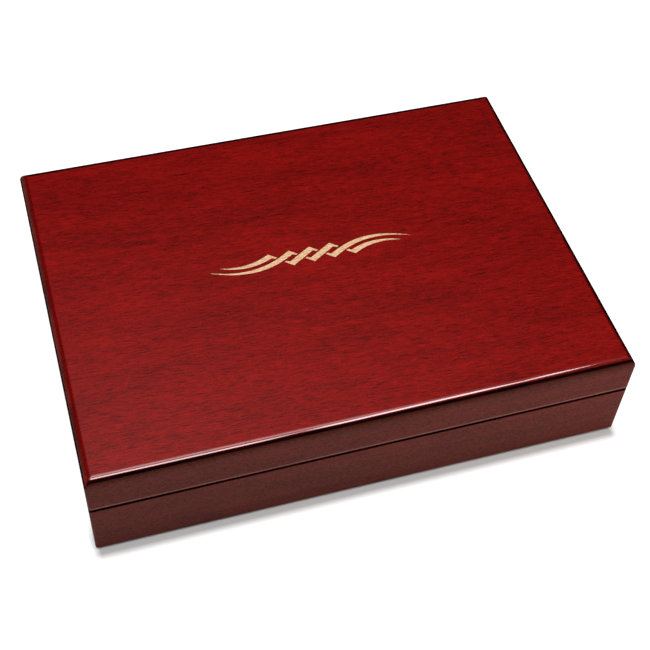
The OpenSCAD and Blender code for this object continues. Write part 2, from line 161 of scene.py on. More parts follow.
class Nodes:
    """A node tree with short ways to add and join nodes."""

    def __init__(self, tree: bpy.types.NodeTree) -> None:
        """Take the tree to work on."""
        self.tree = tree

    def feed(self, socket: Socket, value: Any) -> None:
        """Join a socket to signals, or set its own value.

        Args:
            socket: The input socket.
            value: A signal, a list of signals or a plain value.
        """
        for item in value if isinstance(value, list) else [value]:
            if isinstance(item, Signal):
                self.tree.links.new(item.socket, socket)
            else:
                socket.default_value = item

    def add(self, kind: str, inputs: dict[Any, Any] | None = None, out: str | int = 0,
            **settings: Any) -> Signal:
        """Add a node.

        Args:
            kind: Blender's name for the node.
            inputs: Signals or values by input name or number.
            out: Name or number of the output that is wanted.
            settings: The node's own properties.

        Returns:
            The output.
        """
        node = self.tree.nodes.new(kind)
        for key, value in settings.items():
            setattr(node, key, value)
        for key, value in (inputs or {}).items():
            self.feed(node.inputs[key], value)
        return Signal(self, node.outputs[out])

    def step(self, operation: str, first: Any, second: Any = 0.0) -> Signal:
        """One step of arithmetic on one or two values."""
        return self.add("ShaderNodeMath", {0: first, 1: second}, operation=operation)

    def part(self, vector: Signal, axis: str) -> Signal:
        """One part of a vector."""
        return self.add("ShaderNodeSeparateXYZ", {0: vector}, axis)


@dataclass(frozen=True)
class Layer:
    """Noise drawn out along the grain: size of its marks in metres, fineness, place and weight."""

    along: float
    across: float
    detail: float = 2.0
    shift: float = 0.0
    weight: float = 1.0


class Bench(Nodes):
    """The nodes of one material, which reads Object coordinates."""

    def __init__(self, name: str) -> None:
        """Start an empty material.

        Args:
            name: The material's name.
        """
        self.material = bpy.data.materials.new(name)
        self.material.use_nodes = True
        super().__init__(self.material.node_tree)
        self.tree.nodes.clear()
        self.output = self.tree.nodes.new("ShaderNodeOutputMaterial")
        self.place = self.add("ShaderNodeTexCoord", out="Object")

    def turned(self, degrees: float) -> Signal:
        """Object coordinates turned about Z."""
        turn = (0.0, 0.0, math.radians(degrees))
        return self.add("ShaderNodeMapping", {"Vector": self.place, "Rotation": turn})

    def waved(self, place: Signal, pitch: float, reach: float) -> Signal:
        """Push coordinates about by a soft noise, so that straight grain wanders.

        Args:
            place: The coordinates to push.
            pitch: Rough length of a wave in metres.
            reach: Largest push in metres.

        Returns:
            The wandering coordinates.
        """
        inputs = {"Vector": place, "Scale": 1 / pitch, "Detail": 1.0}
        drift = self.add("ShaderNodeTexNoise", inputs, "Color")
        steps = {"SUBTRACT": (0.5,) * 3, "MULTIPLY": (0.0, 2 * reach, 2 * reach)}
        for operation, value in steps.items():
            drift = self.add("ShaderNodeVectorMath", {0: drift, 1: value}, operation=operation)
        return self.add("ShaderNodeVectorMath", {0: place, 1: drift}, operation="ADD")

    def grain(self, layer: Layer, axis: Grain = Grain.X, place: Signal | None = None) -> Signal:
        """Lay one layer of noise.

        Args:
            layer: The layer.
            axis: The axis of the grain.
            place: The coordinates that it reads; none takes the plain ones.

        Returns:
            The noise, about 0.5 on average.
        """
        long, thin = 1 / layer.along, 1 / layer.across
        scale = (long, thin, thin) if axis is Grain.X else (thin, long, thin)
        spot = self.add("ShaderNodeMapping", {
            "Vector": place or self.place, "Scale": scale, "Location": (layer.shift,) * 3})
        inputs = {"Vector": spot, "Scale": 1.0, "Detail": layer.detail}
        return self.add("ShaderNodeTexNoise", inputs, "Fac")

    def mix(self, share: Signal, first: Any, second: Any) -> Signal:
        """Mix two colours by a share."""
        return self.add("ShaderNodeMix", {0: share, 6: first, 7: second}, 2, data_type="RGBA")

    def bump(self, rise: Signal, depth: float) -> Signal:
        """A normal that is roughened by a height in metres."""
        return self.add("ShaderNodeBump", {"Height": rise, "Distance": depth, "Strength": 1.0})

    def close(self, inputs: dict[str, Any]) -> Material:
        """Finish with one principled shader, and give the material."""
        self.feed(self.output.inputs[0], self.add("ShaderNodeBsdfPrincipled", inputs))
        return self.material


class Laid(NamedTuple):
    """What a finish lays: what mixes its colours, raises it, roughens it and colours it over."""

    tone: Signal
    rise: Signal
    coarse: Signal | None = None
    over: Sequence[tuple[Signal, Colour]] = ()


@dataclass(frozen=True)
class Finish:
    """A finish of two colours, with the shader's own inputs that are the same all over."""

    name: str
    light: Colour
    dark: Colour
    rough: Pair = (0.5, 0.5)
    rough_range: Pair = NOISE_RANGE
    tone_range: Pair = NOISE_RANGE
    specular: float = 0.5
    relief: float = 0.0
    own: dict[str, Any] = field(default_factory=dict)

    def lay(self, bench: Bench) -> Laid:
        """Lay the finish's noise on a material's bench."""
        raise NotImplementedError

    def make(self) -> Material:
        """Build the material.

        Returns:
            The material, with one roughness where nothing roughens it.
        """
        bench = Bench(self.name)
        laid = self.lay(bench)
        colour = bench.mix(laid.tone.spread(*self.tone_range), self.dark, self.light)
        for share, paint in laid.over:
            colour = bench.mix(share, colour, paint)
        inputs = {"Base Color": colour, "Roughness": self.rough[0],
                  "Specular IOR Level": self.specular} | self.own
        if laid.coarse:
            inputs["Roughness"] = laid.coarse.spread(*self.rough_range, *self.rough)
        if self.relief:
            inputs["Normal"] = bench.bump(laid.rise, self.relief)
        return bench.close(inputs)


@dataclass(frozen=True)
class Veneer(Finish):
    """Red veneer with fine dark pores, and painted shade between two heights if given."""

    rough: Pair = (0.2, 0.12)
    tone_range: Pair = (0.58, 1.02)
    specular: float = 0.25
    relief: float = -0.000006
    own: dict[str, Any] = field(default_factory=lambda: dict(GLOSS))
    axis: Grain = Grain.X
    lean: float = 3.5
    wave: Pair = (0.045, 0.0016)
    patch: Layer = Layer(0.06, 0.016, 3.0, weight=0.3)
    band: Layer = Layer(0.03, 0.0032, 2.0, 3.7, 0.25)
    fibre: Layer = Layer(0.006, 0.0005, 2.0, 9.1, 0.6)
    speck: Layer = Layer(0.0011, 0.00055, 1.0, 7.9, 0.45)
    pores: Layer = Layer(0.006, 0.00045, 1.0, 5.3)
    pore: Colour = screen(64, 4, 4)
    pore_range: Pair = (0.54, 0.7)
    pore_share: float = 0.7
    # Painted shade: the colour that the veneer turns to between shade_none and shade_full.
    shade: Colour = screen(18, 1, 1)
    shade_none: float = 0.0
    shade_full: float = 0.0

    def lay(self, bench: Bench) -> Laid:
        """Lay leaning grain, pores and the painted shade.

        Args:
            bench: The material's bench.

        Returns:
            The layers.
        """
        place = bench.waved(bench.turned(self.lean), *self.wave)
        layers = (self.patch, self.band, self.fibre, self.speck, self.pores)
        patch, band, fibre, speck, pores = (
            bench.grain(layer, self.axis, place) for layer in layers)
        tone = (patch * self.patch.weight + band * self.band.weight) + (
            fibre * self.fibre.weight + speck * self.speck.weight)
        flecks = pores.spread(*self.pore_range, 0.0, self.pore_share)
        over = [(flecks, self.pore)]
        # Painted shade, by height.
        if self.shade_none:
            (low, start), (high, end) = sorted(((self.shade_none, 0.0), (self.shade_full, 1.0)))
            over.append((bench.part(bench.place, "Z").spread(low, high, start, end), self.shade))
        return Laid(tone, flecks, fibre, over)


@dataclass(frozen=True)
class ShadedEdge(Finish):
    """Dark paint along the lid's rounded edges and in the seam, which is painted shade."""

    rough: Pair = (0.3, 0.3)
    tone_range: Pair = (0.2, 0.34)
    specular: float = 0.0
    relief: float = 0.00002
    streak: Layer = Layer(0.006, 0.0007)
    cloud: Layer = Layer(0.03, 0.02, shift=2.0)

    def lay(self, bench: Bench) -> Laid:
        """Lay streaks under a cloud."""
        streak = bench.grain(self.streak)
        return Laid(streak * bench.grain(self.cloud), streak)


@dataclass(frozen=True)
class BareWood(Finish):
    """Pale wood laid bare by the engraving."""

    rough: Pair = (0.75, 0.75)
    tone_range: Pair = (0.75, 1.25)
    specular: float = 0.2
    relief: float = 0.00008
    streak: Layer = Layer(0.004, 0.0006)
    speck: Layer = Layer(0.0007, 0.0005, shift=4.0)

    def lay(self, bench: Bench) -> Laid:
        """Lay streaks and specks."""
        streak, speck = bench.grain(self.streak), bench.grain(self.speck)
        return Laid(streak + speck, speck)


@dataclass(frozen=True)
class Cedar(Finish):
    """Oiled cedar with growth bands and short dark pores."""

    rough: Pair = (0.68, 0.56)
    tone_range: Pair = (0.32, 0.68)
    specular: float = 0.35
    relief: float = 0.00006
    axis: Grain = Grain.X
    wave: Pair = (0.06, 0.002)
    band: Layer = Layer(0.16, 0.007, 3.0, weight=0.6)
    fibre: Layer = Layer(0.012, 0.0006, 3.0, 6.0, 0.4)
    pores: Layer = Layer(0.0035, 0.0004, 1.0, 1.0)
    pore: Colour = screen(104, 58, 36)
    pore_range: Pair = (0.6, 0.72)
    pore_share: float = 0.6

    def lay(self, bench: Bench) -> Laid:
        """Lay bands, fibres and pores.

        Args:
            bench: The material's bench.

        Returns:
            The layers.
        """
        place = bench.waved(bench.place, *self.wave)
        layers = (self.band, self.fibre, self.pores)
        band, fibre, pores = (bench.grain(layer, self.axis, place) for layer in layers)
        tone = band * self.band.weight + fibre * self.fibre.weight
        flecks = pores.spread(*self.pore_range, 0.0, self.pore_share)
        return Laid(tone, fibre - flecks, tone, [(flecks, self.pore)])


@dataclass(frozen=True)
class Metal(Finish):
    """Brushed or polished metal that faint tarnish darkens."""

    rough_range: Pair = (0.7, 1.3)
    tone_range: Pair = (0.7, 0.35)
    relief: float = 0.000008
    own: dict[str, Any] = field(default_factory=lambda: {"Metallic": 1.0})
    brush: Layer = Layer(0.012, 0.00025)
    cloud: Layer = Layer(0.006, 0.005, 3.0, 2.0)

    def lay(self, bench: Bench) -> Laid:
        """Lay brush marks under tarnish."""
        brush, cloud = bench.grain(self.brush), bench.grain(self.cloud)
        return Laid(cloud, brush, brush + cloud)


@dataclass(frozen=True)
class Moulded(Finish):
    """Moulded plastic with a fine spark texture."""

    rough: Pair = (0.5, 0.62)
    tone_range: Pair = (0.0, 1.0)
    relief: float = 0.00005
    spark: Layer = Layer(0.0005, 0.0005, 3.0)
    cloud: Layer = Layer(0.02, 0.02, shift=3.0)

    def lay(self, bench: Bench) -> Laid:
        """Lay sparks on a cloud."""
        spark = bench.grain(self.spark)
        return Laid(bench.grain(self.cloud), spark, spark)


@dataclass(frozen=True)
class Felt(Finish):
    """Pressed felt with short matted fibres."""

    rough: Pair = (0.95, 0.95)
    tone_range: Pair = (0.35, 0.65)
    specular: float = 0.1
    relief: float = 0.0003
    own: dict[str, Any] = field(default_factory=lambda: {"Sheen Weight": 0.3})
    wave: Pair = (0.003, 0.002)
    lint: Layer = Layer(0.0016, 0.0003, 3.0, weight=0.7)
    clump: Layer = Layer(0.006, 0.004, 2.0, 7.0, 0.3)

    def lay(self, bench: Bench) -> Laid:
        """Lay wandering lint on clumps.

        Args:
            bench: The material's bench.

        Returns:
            The layers.
        """
        lint = bench.grain(self.lint, place=bench.waved(bench.place, *self.wave))
        tone = lint * self.lint.weight + bench.grain(self.clump) * self.clump.weight
        return Laid(tone, tone)


@dataclass(frozen=True)
class Foam(Finish):
    """Open-celled foam that holds the water."""

    rough: Pair = (0.9, 0.9)
    tone_range: Pair = (0.0, 1.0)
    specular: float = 0.2
    relief: float = 0.0004
    cells_per_metre: float = 1400.0
    cell_range: Pair = (0.1, 0.6)
    cloud: Layer = Layer(0.006, 0.006, 3.0)
    cloud_range: Pair = (0.2, 0.8)
    cloud_share: Pair = (0.7, 1.0)

    def lay(self, bench: Bench) -> Laid:
        """Lay cells under a cloud.

        Args:
            bench: The material's bench.

        Returns:
            The layers.
        """
        sizes = {"Vector": bench.place, "Scale": self.cells_per_metre}
        cells = bench.add("ShaderNodeTexVoronoi", sizes, "Distance")
        cloud = bench.grain(self.cloud).spread(*self.cloud_range, *self.cloud_share)
        return Laid(cells.spread(*self.cell_range) * cloud, cells)


@dataclass(frozen=True)
class Enamel(Finish):
    """Painted or printed coat with a faint speckle."""

    rough: Pair = (0.4, 0.5)
    relief: float = 0.00001
    speck: Layer = Layer(0.0008, 0.0008, 3.0, weight=0.5)
    cloud: Layer = Layer(0.012, 0.012, 2.0, 2.0, 0.5)

    def lay(self, bench: Bench) -> Laid:
        """Lay specks on a cloud."""
        speck, cloud = bench.grain(self.speck), bench.grain(self.cloud)
        return Laid(speck * self.speck.weight + cloud * self.cloud.weight, speck, speck)


@dataclass(frozen=True)
class Glass(Finish):
    """Clear lens with a hint of green and a few fine smears."""

    rough: Pair = (0.0, 0.05)
    rough_range: Pair = (0.4, 0.75)
    tone_range: Pair = (0.0, 1.0)
    own: dict[str, Any] = field(default_factory=lambda: {"IOR": 1.49, "Transmission Weight": 1.0})
    smear: Layer = Layer(0.01, 0.004, 3.0)

    def lay(self, bench: Bench) -> Laid:
        """Lay smears."""
        smear = bench.grain(self.smear)
        return Laid(smear, smear, smear)


@dataclass(frozen=True)
class PaleGround:
    """Pale floor that keeps the shadow and reads as white beyond it, sizes in metres."""

    name: str = "pale_ground"
    colour: Colour = (0.5, 0.5, 0.5, 1.0)
    roughness: float = 0.9
    glow_reach: Pair = (0.2, 0.7)
    glow: Pair = (0.85, 1.0)
    mirrored_reach: Pair = (0.1, 1.25)
    mirrored: Pair = (0.4, 0.03)
    # Painted shadow: the glow drops to this level along the bottom of the front wall.
    foot: float = 0.08
    foot_start: Pair = (0.08, 0.09)
    foot_reach: Pair = (0.0996, 0.10425)
    foot_end: Pair = (0.128, 0.133)

    def make(self) -> Material:
        """Build the material.

        Returns:
            The ground, with a painted shadow along the bottom of the front wall.
        """
        bench = Bench(self.name)
        distance = bench.add("ShaderNodeVectorMath", {0: bench.place}, "Value", operation="LENGTH")
        across, along, height = (bench.part(bench.place, axis) for axis in "XYZ")
        ahead = along * -1.0
        # Painted shadow: a strip before the front wall where the glow is lowered.
        foot = ahead.spread(*self.foot_reach, 1.0, 0.0) * (
            ahead.spread(*self.foot_start)
            * bench.step("ABSOLUTE", across).spread(*self.foot_end, 1.0, 0.0))
        glow = distance.spread(*self.glow_reach, *self.glow) + foot * (self.foot - self.glow[0])
        camera, glossy, through = (bench.add("ShaderNodeLightPath", out=f"Is {ray} Ray")
                                   for ray in ("Camera", "Glossy", "Transmission"))
        mirrored = glossy * height.spread(*self.mirrored_reach, *self.mirrored)
        seen = bench.step("MAXIMUM", camera, bench.step("MAXIMUM", mirrored, through))
        return bench.close({
            "Base Color": self.colour, "Roughness": self.roughness, "Specular IOR Level": 0.0,
            "Emission Color": WHITE, "Emission Strength": glow * seen})


def make_finishes() -> Finishes:
    """Make every material of the humidor once.

    Returns:
        The materials by name.
    """
    red = (screen(153, 17, 13), screen(84, 7, 6))
    bare = Veneer("bare_veneer", *red, lean=0.0, relief=-0.00004, own={})
    short_grain = {word: replace(getattr(bare, word), along=0.00168) for word in ("fibre", "pores")}
    satin = replace(
        bare, light=screen(136, 52, 38), dark=screen(80, 29, 22), rough=(0.46, 0.38), specular=0.08,
        pore=screen(34, 8, 6), pore_share=0.62, **short_grain)
    # Painted shade: the base boards darken towards the bottom.
    low = replace(satin, shade=screen(24, 12, 10), shade_none=0.033, shade_full=-0.1)
    # Painted highlight: a lighter band low on the lid's boards stands in for the floor's reflection
    # along the rim.
    worn = replace(bare, light=screen(152, 90, 80), dark=screen(124, 66, 58), rough=(0.36, 0.28),
                   specular=0.3, pore_share=0.2)
    finishes: list[Finish] = [
        Veneer("gloss_veneer", *red),
        # Painted shade: the front edge's gloss darkens towards its lower part.
        Veneer("gloss_front_edge", screen(164, 19, 15), screen(91, 8, 7), specular=0.85,
               shade_none=0.05585, shade_full=0.0552, own=GLOSS | {"Coat IOR": 2.6}),
        # A darker copy of the gloss for the left edge: painted shade.
        Veneer("gloss_left_edge", screen(126, 5, 5), screen(74, 2, 2)),
        # Painted shade below the front edge, in greyish browns that are also a painted sheen.
        replace(satin, name="satin_front_edge", light=screen(121, 53, 42), dark=screen(72, 32, 25),
                shade=screen(34, 24, 20), shade_none=0.0529, shade_full=0.0547),
        # Painted shade: dark bands on the lid's rounded edges and in the seam between lid and base.
        ShadedEdge("shaded_edge", screen(34, 4, 4), screen(14, 1, 1)),
        ShadedEdge("shaded_left_edge", screen(116, 34, 27), screen(78, 18, 14), specular=0.05),
        ShadedEdge("shaded_right_edge", screen(112, 14, 11), screen(78, 7, 6)),
        ShadedEdge("painted_shade_seam", screen(50, 12, 8), screen(24, 4, 3)),
        BareWood("engraved_floor", screen(243, 206, 168), screen(196, 150, 108)),
        BareWood("engraved_wall", screen(150, 96, 52), screen(112, 62, 34)),
        Cedar("base_panel", screen(142, 104, 76), screen(108, 74, 52), pore=screen(70, 44, 30)),
        Metal("brass", screen(222, 184, 108), screen(190, 146, 76), (0.15, 0.3)),
        Metal("steel", screen(196, 198, 202), screen(150, 152, 158), (0.23, 0.38)),
        Metal("magnet", screen(120, 120, 124), screen(80, 80, 84), (0.25, 0.4)),
        Moulded("black_plastic", screen(38, 38, 41), screen(22, 22, 24)),
        Felt("felt", screen(58, 54, 54), screen(26, 24, 25)),
        Foam("foam", screen(92, 118, 82), screen(34, 52, 32)),
        Enamel("dial_face", screen(246, 240, 222), screen(236, 228, 206)),
        Enamel("dial_ink", screen(30, 28, 30), screen(18, 16, 18), (0.5, 0.6)),
        Enamel("dial_zone", screen(66, 120, 70), screen(48, 100, 54), (0.5, 0.6)),
        Enamel("needle_paint", screen(178, 26, 22), screen(150, 18, 16), (0.3, 0.4)),
        Glass("lens_glass", WHITE, (0.97, 0.99, 0.98, 1.0)),
    ]
    for axis in Grain:
        finishes.append(
            Cedar(f"cedar_{axis.value}", screen(205, 150, 106), screen(164, 104, 68), axis=axis))
        for word, veneer in (("satin_veneer", satin), ("satin_base", low), ("worn_edge", worn)):
            finishes.append(replace(veneer, name=f"{word}_{axis.value}", axis=axis))
    return {finish.name: finish.make() for finish in finishes}


def mesh_of(form: bmesh.types.BMesh) -> Mesh:
    """Turn a form into a mesh and free it.

    Args:
        form: The form.

    Returns:
        The mesh.
    """
    mesh = bpy.data.meshes.new("shape")
    form.to_mesh(mesh)
    form.free()
    return mesh


def mesh_from(verts: Sequence[Vector], faces: Sequence[Sequence[int]]) -> Mesh:
    """Make a mesh with outward faces.

    Args:
        verts: Points in metres.
        faces: Point numbers of each face.

    Returns:
        The mesh.
    """
    raw = bpy.data.meshes.new("raw")
    raw.from_pydata([tuple(point) for point in verts], [], faces)
    form = bmesh.new()
    form.from_mesh(raw)
    bpy.data.meshes.remove(raw)
    bmesh.ops.recalc_face_normals(form, faces=form.faces)
    return mesh_of(form)


def skin(rings: int, count: int) -> list[list[int]]:
    """Faces that join rings of points, one ring to the next.

    Args:
        rings: Number of rings.
        count: Points in each ring.

    Returns:
        The point numbers of each face.
    """
    pairs = [(i, (i + 1) % count) for i in range(count)]
    return [[near + i, near + j, near + count + j, near + count + i]
            for near in range(0, (rings - 1) * count, count) for i, j in pairs]


def loft(rings: Sequence[Sequence[Vector]]) -> Mesh:
    """Closed mesh over rings of points.

    Args:
        rings: Rings with the same number of points, in metres; the first and the last are capped.

    Returns:
        The mesh.
    """
    count, last = len(rings[0]), (len(rings) - 1) * len(rings[0])
    caps = [list(range(count)), list(range(last, last + count))]
    return mesh_from([point for ring in rings for point in ring], caps + skin(len(rings), count))


def prism(outline: Sequence[Pair], low: float, high: float, lying: bool = False) -> Mesh:
    """Draw out an outline in millimetres along Z, or one of y and z along X where it lies."""
    return loft([[Vector((end, a, b) if lying else (a, b, end)) * MM for a, b in outline]
                 for end in (low, high)])


def plain_mesh(carrier: Piece) -> Mesh:
    """Turn an object with its modifiers, or a text, into a plain mesh.

    Args:
        carrier: The object, which is then taken away.

    Returns:
        The mesh.
    """
    bpy.context.scene.collection.objects.link(carrier)
    depsgraph = bpy.context.evaluated_depsgraph_get()
    mesh = bpy.data.meshes.new_from_object(carrier.evaluated_get(depsgraph))
    carrier.modifiers.clear()
    bpy.data.objects.remove(carrier)
    return mesh


def cut(mesh: Mesh, *cutters: Mesh) -> Mesh:
    """Take cutters out of a mesh, one after another.

    Args:
        mesh: The closed mesh.
        cutters: Closed meshes to take out.

    Returns:
        The mesh that is left.
    """
    for cutter in cutters:
        body, knife = bpy.data.objects.new("body", mesh), bpy.data.objects.new("knife", cutter)
        bpy.context.scene.collection.objects.link(knife)
        step = body.modifiers.new("cut", "BOOLEAN")
        step.operation, step.solver, step.object = "DIFFERENCE", "EXACT", knife
        mesh = plain_mesh(body)
        bpy.data.objects.remove(knife)
    return mesh


def eased_copy(node: str, width: float, steps: int) -> Mesh:
    """Copy a CAD node and ease its outer edges.

    Args:
        node: The node's name.
        width: Width of the eased edge in millimetres.
        steps: Faces across the eased edge.

    Returns:
        The eased mesh.
    """
    form = bmesh.new()
    form.from_mesh(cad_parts[node].data)
    bmesh.ops.remove_doubles(form, verts=form.verts, dist=MERGE_REACH)
    bmesh.ops.dissolve_limit(form, angle_limit=math.radians(FLAT_TURN), verts=form.verts,
                             edges=form.edges)
    edges = [edge for edge in form.edges if edge.is_manifold and edge.is_convex
             and edge.calc_face_angle() > math.radians(CRISP_TURN)]
    bmesh.ops.bevel(form, geom=edges, offset=width * MM, offset_type="OFFSET", segments=steps,
                    profile=0.5, affect="EDGES", clamp_overlap=True)
    return mesh_of(form)


def show(name: str, mesh: Mesh, materials: Sequence[Material] = (), turn: float = CRISP_TURN,
         choose: Callable[[Face], int] | None = None) -> Piece:
    """Put a mesh in the scene as an object at the origin, with soft shading between near faces.

    Args:
        name: The piece's name.
        mesh: Its mesh, placed in metres.
        materials: Materials for its slots; none keeps the mesh's own.
        turn: Edges that turn by more than this many degrees stay crisp.
        choose: Gives the material slot of a face; none leaves the first.

    Returns:
        The object.
    """
    mesh.name = name
    if materials:
        mesh.materials.clear()
        for material in materials:
            mesh.materials.append(material)
    if choose:
        for face in mesh.polygons:
            face.material_index = choose(face)
    mesh.polygons.foreach_set("use_smooth", [True] * len(mesh.polygons))
    mesh.set_sharp_from_angle(angle=math.radians(turn))
    piece = bpy.data.objects.new(name, mesh)
    bpy.context.scene.collection.objects.link(piece)
    weigh = piece.modifiers.new("weighted", "WEIGHTED_NORMAL")
    weigh.keep_sharp, weigh.weight = True, FACE_WEIGHT
    return piece


def settle(piece: Piece, body: str, slot: str, *nodes: str) -> Piece:
    """Join a finished piece to the frame and report it.

    Args:
        piece: The finished piece.
        body: The CAD body that it rides on.
        slot: Name of a material slot; not used.
        nodes: The CAD nodes that it stands for.

    Returns:
        The piece.
    """
    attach(piece, body)
    if nodes:
        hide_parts(*nodes)
    LOG.info("%s rides on %s, %d faces", piece.name, body, len(piece.data.polygons))
    return piece


def dress_copy(name: str, node: str, body: str, slot: str, material: Material, ease: float,
               steps: int = 2) -> None:
    """Let a copy of a CAD node with eased edges and its own material stand for the node."""
    settle(show(name, eased_copy(node, ease, steps), [material]), body, slot, node)


def dress_node(node: str, material: Material) -> None:
    """Give a CAD node that stays a finished material."""
    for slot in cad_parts[node].material_slots:
        slot.material = material


class Kit(Nodes):
    """The geometry nodes of what repeats, with named sizes."""

    def __init__(self, name: str, sizes: dict[str, float | int]) -> None:
        """Start a tree with its inputs.

        Args:
            name: The tree's name.
            sizes: Values of the named inputs; a whole number makes a whole-number input.
        """
        super().__init__(bpy.data.node_groups.new(name, "GeometryNodeTree"))
        self.values: dict[str, float | int] = {}
        for word, value in sizes.items():
            kind = "NodeSocketInt" if isinstance(value, int) else "NodeSocketFloat"
            socket = self.tree.interface.new_socket(word, in_out="INPUT", socket_type=kind)
            self.values[socket.identifier] = value
        self.tree.interface.new_socket("Geometry", in_out="OUTPUT",
                                       socket_type="NodeSocketGeometry")
        self.source = self.tree.nodes.new("NodeGroupInput")

    def __getitem__(self, word: str) -> Signal:
        """The signal of a named size."""
        return Signal(self, self.source.outputs[word])

    def vector(self, x: Any = 0.0, y: Any = 0.0, z: Any = 0.0) -> Signal:
        """Three values as one vector."""
        return self.add("ShaderNodeCombineXYZ", {0: x, 1: y, 2: z})

    def lifted(self, geometry: Signal, rise: Signal) -> Signal:
        """Geometry moved along Z."""
        inputs = {"Geometry": geometry, "Translation": self.vector(z=rise)}
        return self.add("GeometryNodeTransform", inputs)

    def pair(self, start: Signal, offset: Signal) -> Signal:
        """Two points, the second an offset away from the first."""
        inputs = {"Count": 2, "Start Location": start, "Offset": offset}
        return self.add("GeometryNodeMeshLine", inputs)

    def placed(self, points: Signal, instance: Signal, **turns: Signal) -> Signal:
        """An instance on each point, with its Rotation and Scale."""
        inputs = {"Points": points, "Instance": instance} | turns
        return self.add("GeometryNodeInstanceOnPoints", inputs)

    def mesh(self, instances: Signal, material: Material) -> Mesh:
        """Close the tree and turn its result into a plain mesh.

        Args:
            instances: The result.
            material: The material that it gets.

        Returns:
            The plain mesh.
        """
        real = self.add("GeometryNodeRealizeInstances", {0: instances})
        dressed = self.add("GeometryNodeSetMaterial", {"Geometry": real, "Material": material})
        self.feed(self.tree.nodes.new("NodeGroupOutput").inputs[0], dressed)
        carrier = bpy.data.objects.new(self.tree.name, bpy.data.meshes.new(self.tree.name))
        step = carrier.modifiers.new("nodes", "NODES")
        step.node_group = self.tree
        for identifier, value in self.values.items():
            step[identifier] = value
        return plain_mesh(carrier)


@dataclass
class Carcass:
    """Sizes and shapes that the lid and the base share, in millimetres.

    A face is level where its normal rises by the level share, and lies in the outside where it is
    flush.
    """

    half_w: float = 130.0
    half_d: float = 97.0
    wall: float = 11.0
    corner_r: float = 1.2
    corner_least: float = 0.25
    corner_steps: int = 8
    ease_r: float = 0.8
    ease_steps: int = 5
    seam_half: float = 0.16
    level: float = 0.98
    flush: float = 0.1
    axis_y: float = 93.0
    axis_z: float = 34.15
    bevel: float = 48.0
    spare: float = 2.0
    hinge_x: float = 78.0
    mortise_len: float = 32.2
    mortise_depth: float = 6.6
    mortise_h: float = 1.55
    barrel_len: float = 34.2
    barrel_r: float = 2.6
    barrel_steps: int = 48

    def contour(self, inset: float, corner: float | None = None) -> list[Pair]:
        """Plan of the box, set in from its outside, with round corners.

        Args:
            inset: Distance from the outside.
            corner: Radius of the corners; none takes the corner radius less the inset.

        Returns:
            The points, corner by corner from the front right, against the clock from above.
        """
        radius = max(self.corner_r - inset, self.corner_least) if corner is None else corner
        points = []
        for turn, (sx, sy) in enumerate(((1, -1), (1, 1), (-1, 1), (-1, -1))):
            middle = (sx * (self.half_w - inset - radius), sy * (self.half_d - inset - radius))
            points += self.quarter(middle, radius, 90 * (turn - 1), self.corner_steps)
        return points

    def quarter(self, centre: Pair, radius: float, start: float, steps: int) -> list[Pair]:
        """Quarter of a circle.

        Args:
            centre: Its middle.
            radius: Its radius.
            start: Angle at which it starts, in degrees; it then turns by 90 against the clock.
            steps: Number of parts.

        Returns:
            The points.
        """
        x, y = centre
        angles = [math.radians(start + 90 * i / steps) for i in range(steps + 1)]
        return [(x + radius * math.cos(a), y + radius * math.sin(a)) for a in angles]

    def board(self, side: Side, section: Sequence[Pair]) -> Mesh:
        """Sweep a section along one side, between its two mitres.

        Args:
            side: The side.
            section: Closed outline as inset and height.

        Returns:
            The board's mesh.
        """
        per_corner = self.corner_steps + 1
        first = side.value * per_corner + self.corner_steps // 2
        columns = [(first + i) % (4 * per_corner) for i in range(per_corner + 1)]
        plans = [(self.contour(inset), height) for inset, height in section]
        return loft([[Vector((*plan[column], height)) * MM for plan, height in plans]
                     for column in columns])

    def inset(self, face: Face) -> float:
        """How far a face's middle lies inside the plan."""
        return min(self.half_w - abs(face.center.x) / MM, self.half_d - abs(face.center.y) / MM)

    def in_seam(self, face: Face) -> bool:
        """Whether a face is on the rounded edges that meet at the seam."""
        near = abs(face.center.z / MM - self.axis_z) < self.ease_r + self.seam_half
        return near and abs(face.normal.z) < self.level and self.inset(face) < self.ease_r

    def wedge(self) -> Mesh:
        """The room behind the hinge axis that lets the lid swing back.

        Returns:
            The cutter.
        """
        y, z = self.axis_y, self.axis_z
        back, end = self.half_d + self.spare, self.half_w + self.spare
        rise = (back - y) * math.tan(math.radians(self.bevel))
        return prism([(y, z), (back, z - rise), (back, z + rise)], -end, end, lying=True)

    def mortises(self) -> list[Mesh]:
        """The rooms for the hinge leaves and barrels in the back boards.

        Returns:
            Two cutters for each hinge.
        """
        y, z, h, r = self.axis_y, self.axis_z, self.mortise_h, self.barrel_r
        front = y - self.mortise_depth
        leaf = [(front, z - h), (y, z - h), (y, z + h), (front, z + h)]
        turns = [math.tau * i / self.barrel_steps for i in range(self.barrel_steps)]
        barrel = [(y + math.cos(turn) * r, z + math.sin(turn) * r) for turn in turns]
        return [prism(outline, x - length / 2, x + length / 2, lying=True)
                for x in (-self.hinge_x, self.hinge_x)
                for outline, length in ((leaf, self.mortise_len), (barrel, self.barrel_len))]

    def boards(self, section: Sequence[Pair]) -> dict[Side, Mesh]:
        """The four mitred boards of the base or the lid.

        Args:
            section: Closed outline as inset and height.

        Returns:
            A mesh for each side.
        """
        made = {side: self.board(side, section) for side in Side}
        for side in (Side.RIGHT, Side.BACK, Side.LEFT):
            made[side] = cut(made[side], self.wedge())
        made[Side.BACK] = cut(made[Side.BACK], *self.mortises())
        return made


